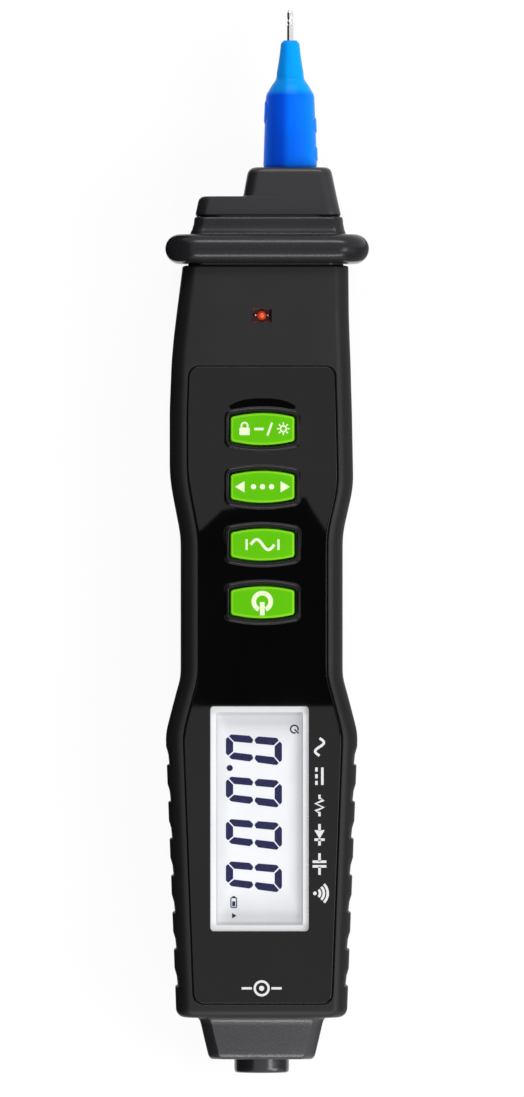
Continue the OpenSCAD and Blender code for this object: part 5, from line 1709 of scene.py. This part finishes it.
def make_springs(m):
    """Two conical wire springs at opposite ends of the bay, in one piece."""
    nickel = sheet_metal_finish("spring_nickel", (0.7, 0.7, 0.68), 0.22)
    tree = coil_tree()
    plates_low, plates_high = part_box("battery_plates")
    plate, wire, reach, wide, narrow = 0.4 * MM, 0.28 * MM, 4.7 * MM, 3.6 * MM, 2.4 * MM
    cell_z = (SPRINGS_LOW.z + SPRINGS_HIGH.z) / 2
    smooth_angle = 50
    merged = bmesh.new()
    coils = []
    for x, y, way in [(SPRINGS_HIGH.x - wide, plates_low.y + plate, 1),
                      (SPRINGS_LOW.x + wide, plates_high.y - plate, -1)]:
        coil = tree.run("coil", smooth_angle, Turns=4.5, Height=reach - 2 * wire, Wire=wire,
                        Finish=nickel,
                        **{"Start radius": wide - wire, "End radius": narrow - wire})
        turn = Matrix.Rotation(math.radians(-90 * way), 4, "X")
        coil.data.transform(Matrix.Translation((x, y + way * wire, cell_z)) @ turn)
        merged.from_mesh(coil.data)
        coils.append(coil)
    both, spare = coils
    merged.to_mesh(both.data)
    merged.free()
    bpy.data.objects.remove(spare)
    smooth_up_to(both.data, smooth_angle)
    both.name = "cell_springs"
    place(both, "housing", "nickel", "battery_springs")


def dress_inside(m):
    """Finishes of the nodes that stay as they are."""
    for node in ("battery_left", "battery_right"):
        low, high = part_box(node)
        dress(node, jacket_finish(low.y, high.y))
    dress("battery_plates", sheet_metal_finish("plate_nickel", (0.7, 0.7, 0.68), 0.25))
    dress("com_lead", sheet_metal_finish("lead_brass", (0.72, 0.5, 0.2), 0.3))
    dress("circuit_board", board_finish())
    dress("contact_strips", striped_elastomer_finish())
    dress("key_mat", soft_rubber_finish("key_mat_grey", (0.3, 0.32, 0.33)))
    dress("buzzer", moulded_finish("buzzer_black", (0.018, 0.018, 0.018), 0.45))
    dress("main_chip", moulded_finish("chip_black", (0.015, 0.015, 0.017), 0.55))
    dress("input_thermistor", soft_rubber_finish("thermistor_dip_blue", (0.04, 0.1, 0.38)))


# Studio


def stage_material(name, colour, build):
    """A material for the stage, whose shader build puts together."""
    material = bpy.data.materials.new(name)
    material.use_nodes = True
    tree = material.node_tree
    tree.nodes.clear()
    output = tree.nodes.new("ShaderNodeOutputMaterial")
    tree.links.new(build(tree, colour), output.inputs["Surface"])
    return material


def seen_share(path):
    """1 for what the camera sees, directly, mirrored or through glass, else 0."""
    seen = Value(path.outputs["Is Camera Ray"]).over(Value(path.outputs["Is Glossy Ray"]))
    return seen.over(Value(path.outputs["Is Transmission Ray"]))


def floor_shader(tree, colour):
    """White to the eye and in reflections, with the object's soft shadow; clear from below."""
    path = add_node(tree, "ShaderNodeLightPath")
    seen = seen_share(path)
    plain = add_node(tree, "ShaderNodeBsdfDiffuse", None, {"Color": (*colour, 1)})
    glow = add_node(tree, "ShaderNodeEmission", None, {"Color": (1, 1, 1, 1), "Strength": 1.03})
    mixed = add_node(tree, "ShaderNodeMixShader", None,
                     {0: seen * 0.9, 1: plain.outputs[0], 2: glow.outputs[0]})
    back = add_node(tree, "ShaderNodeNewGeometry")
    clear = add_node(tree, "ShaderNodeBsdfTransparent")
    hidden = Value(back.outputs["Backfacing"]).over(Value(path.outputs["Is Shadow Ray"]))
    return add_node(tree, "ShaderNodeMixShader", None,
                    {0: hidden, 1: mixed.outputs[0], 2: clear.outputs[0]}).outputs[0]


def card_shader(tree, colour):
    return add_node(tree, "ShaderNodeEmission", None,
                    {"Color": (*colour, 1), "Strength": 1.0}).outputs[0]


def reflection_card(name, points, faces, material):
    """A dark or grey card that only reflections show."""
    mesh = bpy.data.meshes.new(name)
    mesh.from_pydata(points, [], [tuple(face) for face in faces])
    mesh.materials.append(material)
    card = new_object(name, mesh)
    for ray in ("camera", "diffuse", "shadow", "transmission", "volume_scatter"):
        setattr(card, "visible_" + ray, False)


def add_lamp(name, where, size, power):
    """Area lamp that points at the middle of the pen."""
    data = bpy.data.lights.new(name, "AREA")
    data.shape = "RECTANGLE"
    data.size, data.size_y = size
    data.energy = power
    lamp = new_object(name, data)
    lamp.location = where
    lamp.rotation_euler = (-Vector(where)).to_track_quat("-Z", "Y").to_euler()


def make_stage(m):
    """Camera, white floor, soft lamps and the dark and grey cards that black plastic mirrors."""
    st = m.studio
    scene = bpy.context.scene
    scene.view_settings.view_transform = "Standard"
    data = bpy.data.cameras.new("camera")
    data.sensor_width = 36.0
    data.lens = data.sensor_width * (st.distance - Z_FACE) / st.frame_h
    data.clip_end = 100.0
    camera = new_object("camera", data)
    camera.location = (st.middle_x, st.middle_y, st.distance)
    scene.camera = camera

    world = bpy.data.worlds.new("studio")
    scene.world = world
    world.use_nodes = True
    tree = world.node_tree
    tree.nodes.clear()
    path = add_node(tree, "ShaderNodeLightPath")
    seen = seen_share(path)
    sky = add_node(tree, "ShaderNodeBackground", None,
                   {"Color": (1, 1, 1, 1), "Strength": st.ambient + seen * (1 - st.ambient)})
    add_node(tree, "ShaderNodeOutputWorld", None, {"Surface": sky.outputs[0]})

    floor_z = -0.3 * MM
    reach = 30.0
    mesh = bpy.data.meshes.new("floor")
    mesh.from_pydata([(-reach, -reach, floor_z), (reach, -reach, floor_z), (reach, reach, floor_z),
                      (-reach, reach, floor_z)], [], [(0, 1, 2, 3)])
    mesh.materials.append(stage_material("floor_white", (0.8, 0.8, 0.8), floor_shader))
    new_object("floor", mesh)

    dark = stage_material("card_black", (0.0015, 0.0015, 0.0015), card_shader)
    grey = stage_material("card_grey", (0.22, 0.22, 0.23), card_shader)
    height, far = 0.6, 300
    spread = (height - Z_FACE) / (st.distance - Z_FACE)
    # Where on the panel the card's edge is mirrored, in millimetres
    mirrored = [(-far, -32.4), (far, -32.4), (far, 1), (11.8, 1.4), (8.8, 5.9), (7.5, 8.4),
                (-8.7, 5.9), (-13, 1.9), (-far, 0)]
    reflection_card("card_above",
                    [(x * MM + (x * MM - st.middle_x) * spread,
                      y * MM + (y * MM - st.middle_y) * spread, height) for x, y in mirrored],
                    [range(len(mirrored))], dark)
    for name, side, near, tall, low_y, high_y, finish in [
            ("card_left", -1, 23 * MM, 150 * MM, -0.16, 0.16, dark),
            ("card_right", 1, 23 * MM, 110 * MM, -0.12, 0.066, grey)]:
        points = [(side * x, y, z)
                  for x, z in [(near, -0.1 * MM), (90 * MM, -0.1 * MM), (90 * MM, tall)]
                  for y in (low_y, high_y)]
        reflection_card(name, points, [(0, 1, 3, 2), (2, 3, 5, 4)], finish)
    add_lamp("key_right", (1.25, -0.35, 1.05), (0.7, 1.2), 17.0)
    add_lamp("strip_nose", (0.15, 1.35, 0.82), (1.2, 0.3), 13.0)
    add_lamp("strip_tail", (0.15, -1.35, 0.82), (1.2, 0.3), 12.0)
    add_lamp("under", (0.4, -0.3, -1.5), (1.4, 1.4), 12.0)


# Operators and panel


class METER_OT_shells(bpy.types.Operator):
    """Front and back shell with their notches, recesses and openings"""
    bl_idname = "meter.shells"
    bl_label = "Shells"

    def execute(self, context):
        make_front_shell(context.scene.pen_meter)
        make_back_shell(context.scene.pen_meter)
        return {"FINISHED"}


class METER_OT_nose(bpy.types.Operator):
    """Hand guard with its collar, and the stepped nose"""
    bl_idname = "meter.nose"
    bl_label = "Guard and nose"

    def execute(self, context):
        make_hand_guard(context.scene.pen_meter)
        make_nose(context.scene.pen_meter)
        return {"FINISHED"}


class METER_OT_tail(bpy.types.Operator):
    """Tail block with the jack's stub and tube"""
    bl_idname = "meter.tail"
    bl_label = "Tail and jack"

    def execute(self, context):
        make_tail(context.scene.pen_meter)
        return {"FINISHED"}


class METER_OT_face(bpy.types.Operator):
    """Face panel with its dish, rims and signs"""
    bl_idname = "meter.face"
    bl_label = "Face panel"

    def execute(self, context):
        make_panel(context.scene.pen_meter)
        make_panel_print(context.scene.pen_meter)
        return {"FINISHED"}


class METER_OT_keys(bpy.types.Operator):
    """Four keys with their legends"""
    bl_idname = "meter.keys"
    bl_label = "Keys"

    def execute(self, context):
        make_keys(context.scene.pen_meter)
        make_legends(context.scene.pen_meter)
        return {"FINISHED"}


class METER_OT_display(bpy.types.Operator):
    """Display with its digits, window and frame"""
    bl_idname = "meter.display"
    bl_label = "Display"

    def execute(self, context):
        make_display(context.scene.pen_meter)
        return {"FINISHED"}


class METER_OT_indicator(bpy.types.Operator):
    """Red lamp in its window"""
    bl_idname = "meter.indicator"
    bl_label = "Indicator"

    def execute(self, context):
        make_indicator(context.scene.pen_meter)
        return {"FINISHED"}


class METER_OT_probe(bpy.types.Operator):
    """Test probe and its blue sleeve"""
    bl_idname = "meter.probe"
    bl_label = "Probe"

    def execute(self, context):
        make_probe(context.scene.pen_meter)
        return {"FINISHED"}


class METER_OT_back(bpy.types.Operator):
    """Battery cover, screws and springs"""
    bl_idname = "meter.back"
    bl_label = "Back"

    def execute(self, context):
        make_battery_cover(context.scene.pen_meter)
        make_screws(context.scene.pen_meter)
        make_springs(context.scene.pen_meter)
        return {"FINISHED"}


class METER_OT_inside(bpy.types.Operator):
    """Finishes of the pieces inside"""
    bl_idname = "meter.inside"
    bl_label = "Inside"

    def execute(self, context):
        dress_inside(context.scene.pen_meter)
        return {"FINISHED"}


class METER_OT_studio(bpy.types.Operator):
    """Camera, floor and lamps"""
    bl_idname = "meter.studio"
    bl_label = "Studio"

    def execute(self, context):
        make_stage(context.scene.pen_meter)
        return {"FINISHED"}


OPERATORS = (METER_OT_studio, METER_OT_shells, METER_OT_nose, METER_OT_tail, METER_OT_face,
             METER_OT_keys,
             METER_OT_display, METER_OT_indicator, METER_OT_probe, METER_OT_back, METER_OT_inside)


class METER_PT_sidebar(bpy.types.Panel):
    """Lists the steps that build the pen meter"""
    bl_label = "Pen meter"
    bl_idname = "METER_PT_sidebar"
    bl_space_type = "VIEW_3D"
    bl_region_type = "UI"
    bl_category = "Pen meter"

    def draw(self, context):
        for operator in OPERATORS:
            self.layout.operator(operator.bl_idname)


CLASSES = (ShellSizes, PanelSizes, KeySizes, ProbeSizes, StudioSizes, Colours, PenMeter, *OPERATORS,
           METER_PT_sidebar)


def register():
    for cls in CLASSES:
        bpy.utils.register_class(cls)
    bpy.types.Scene.pen_meter = PointerProperty(type=PenMeter)


def unregister():
    del bpy.types.Scene.pen_meter
    for cls in reversed(CLASSES):
        bpy.utils.unregister_class(cls)


def main():
    register()
    bpy.ops.meter.studio()
    bpy.ops.meter.shells()
    bpy.ops.meter.nose()
    bpy.ops.meter.tail()
    bpy.ops.meter.face()
    bpy.ops.meter.keys()
    bpy.ops.meter.display()
    bpy.ops.meter.indicator()
    bpy.ops.meter.probe()
    bpy.ops.meter.back()
    bpy.ops.meter.inside()


if __name__ == "__main__":
    main()
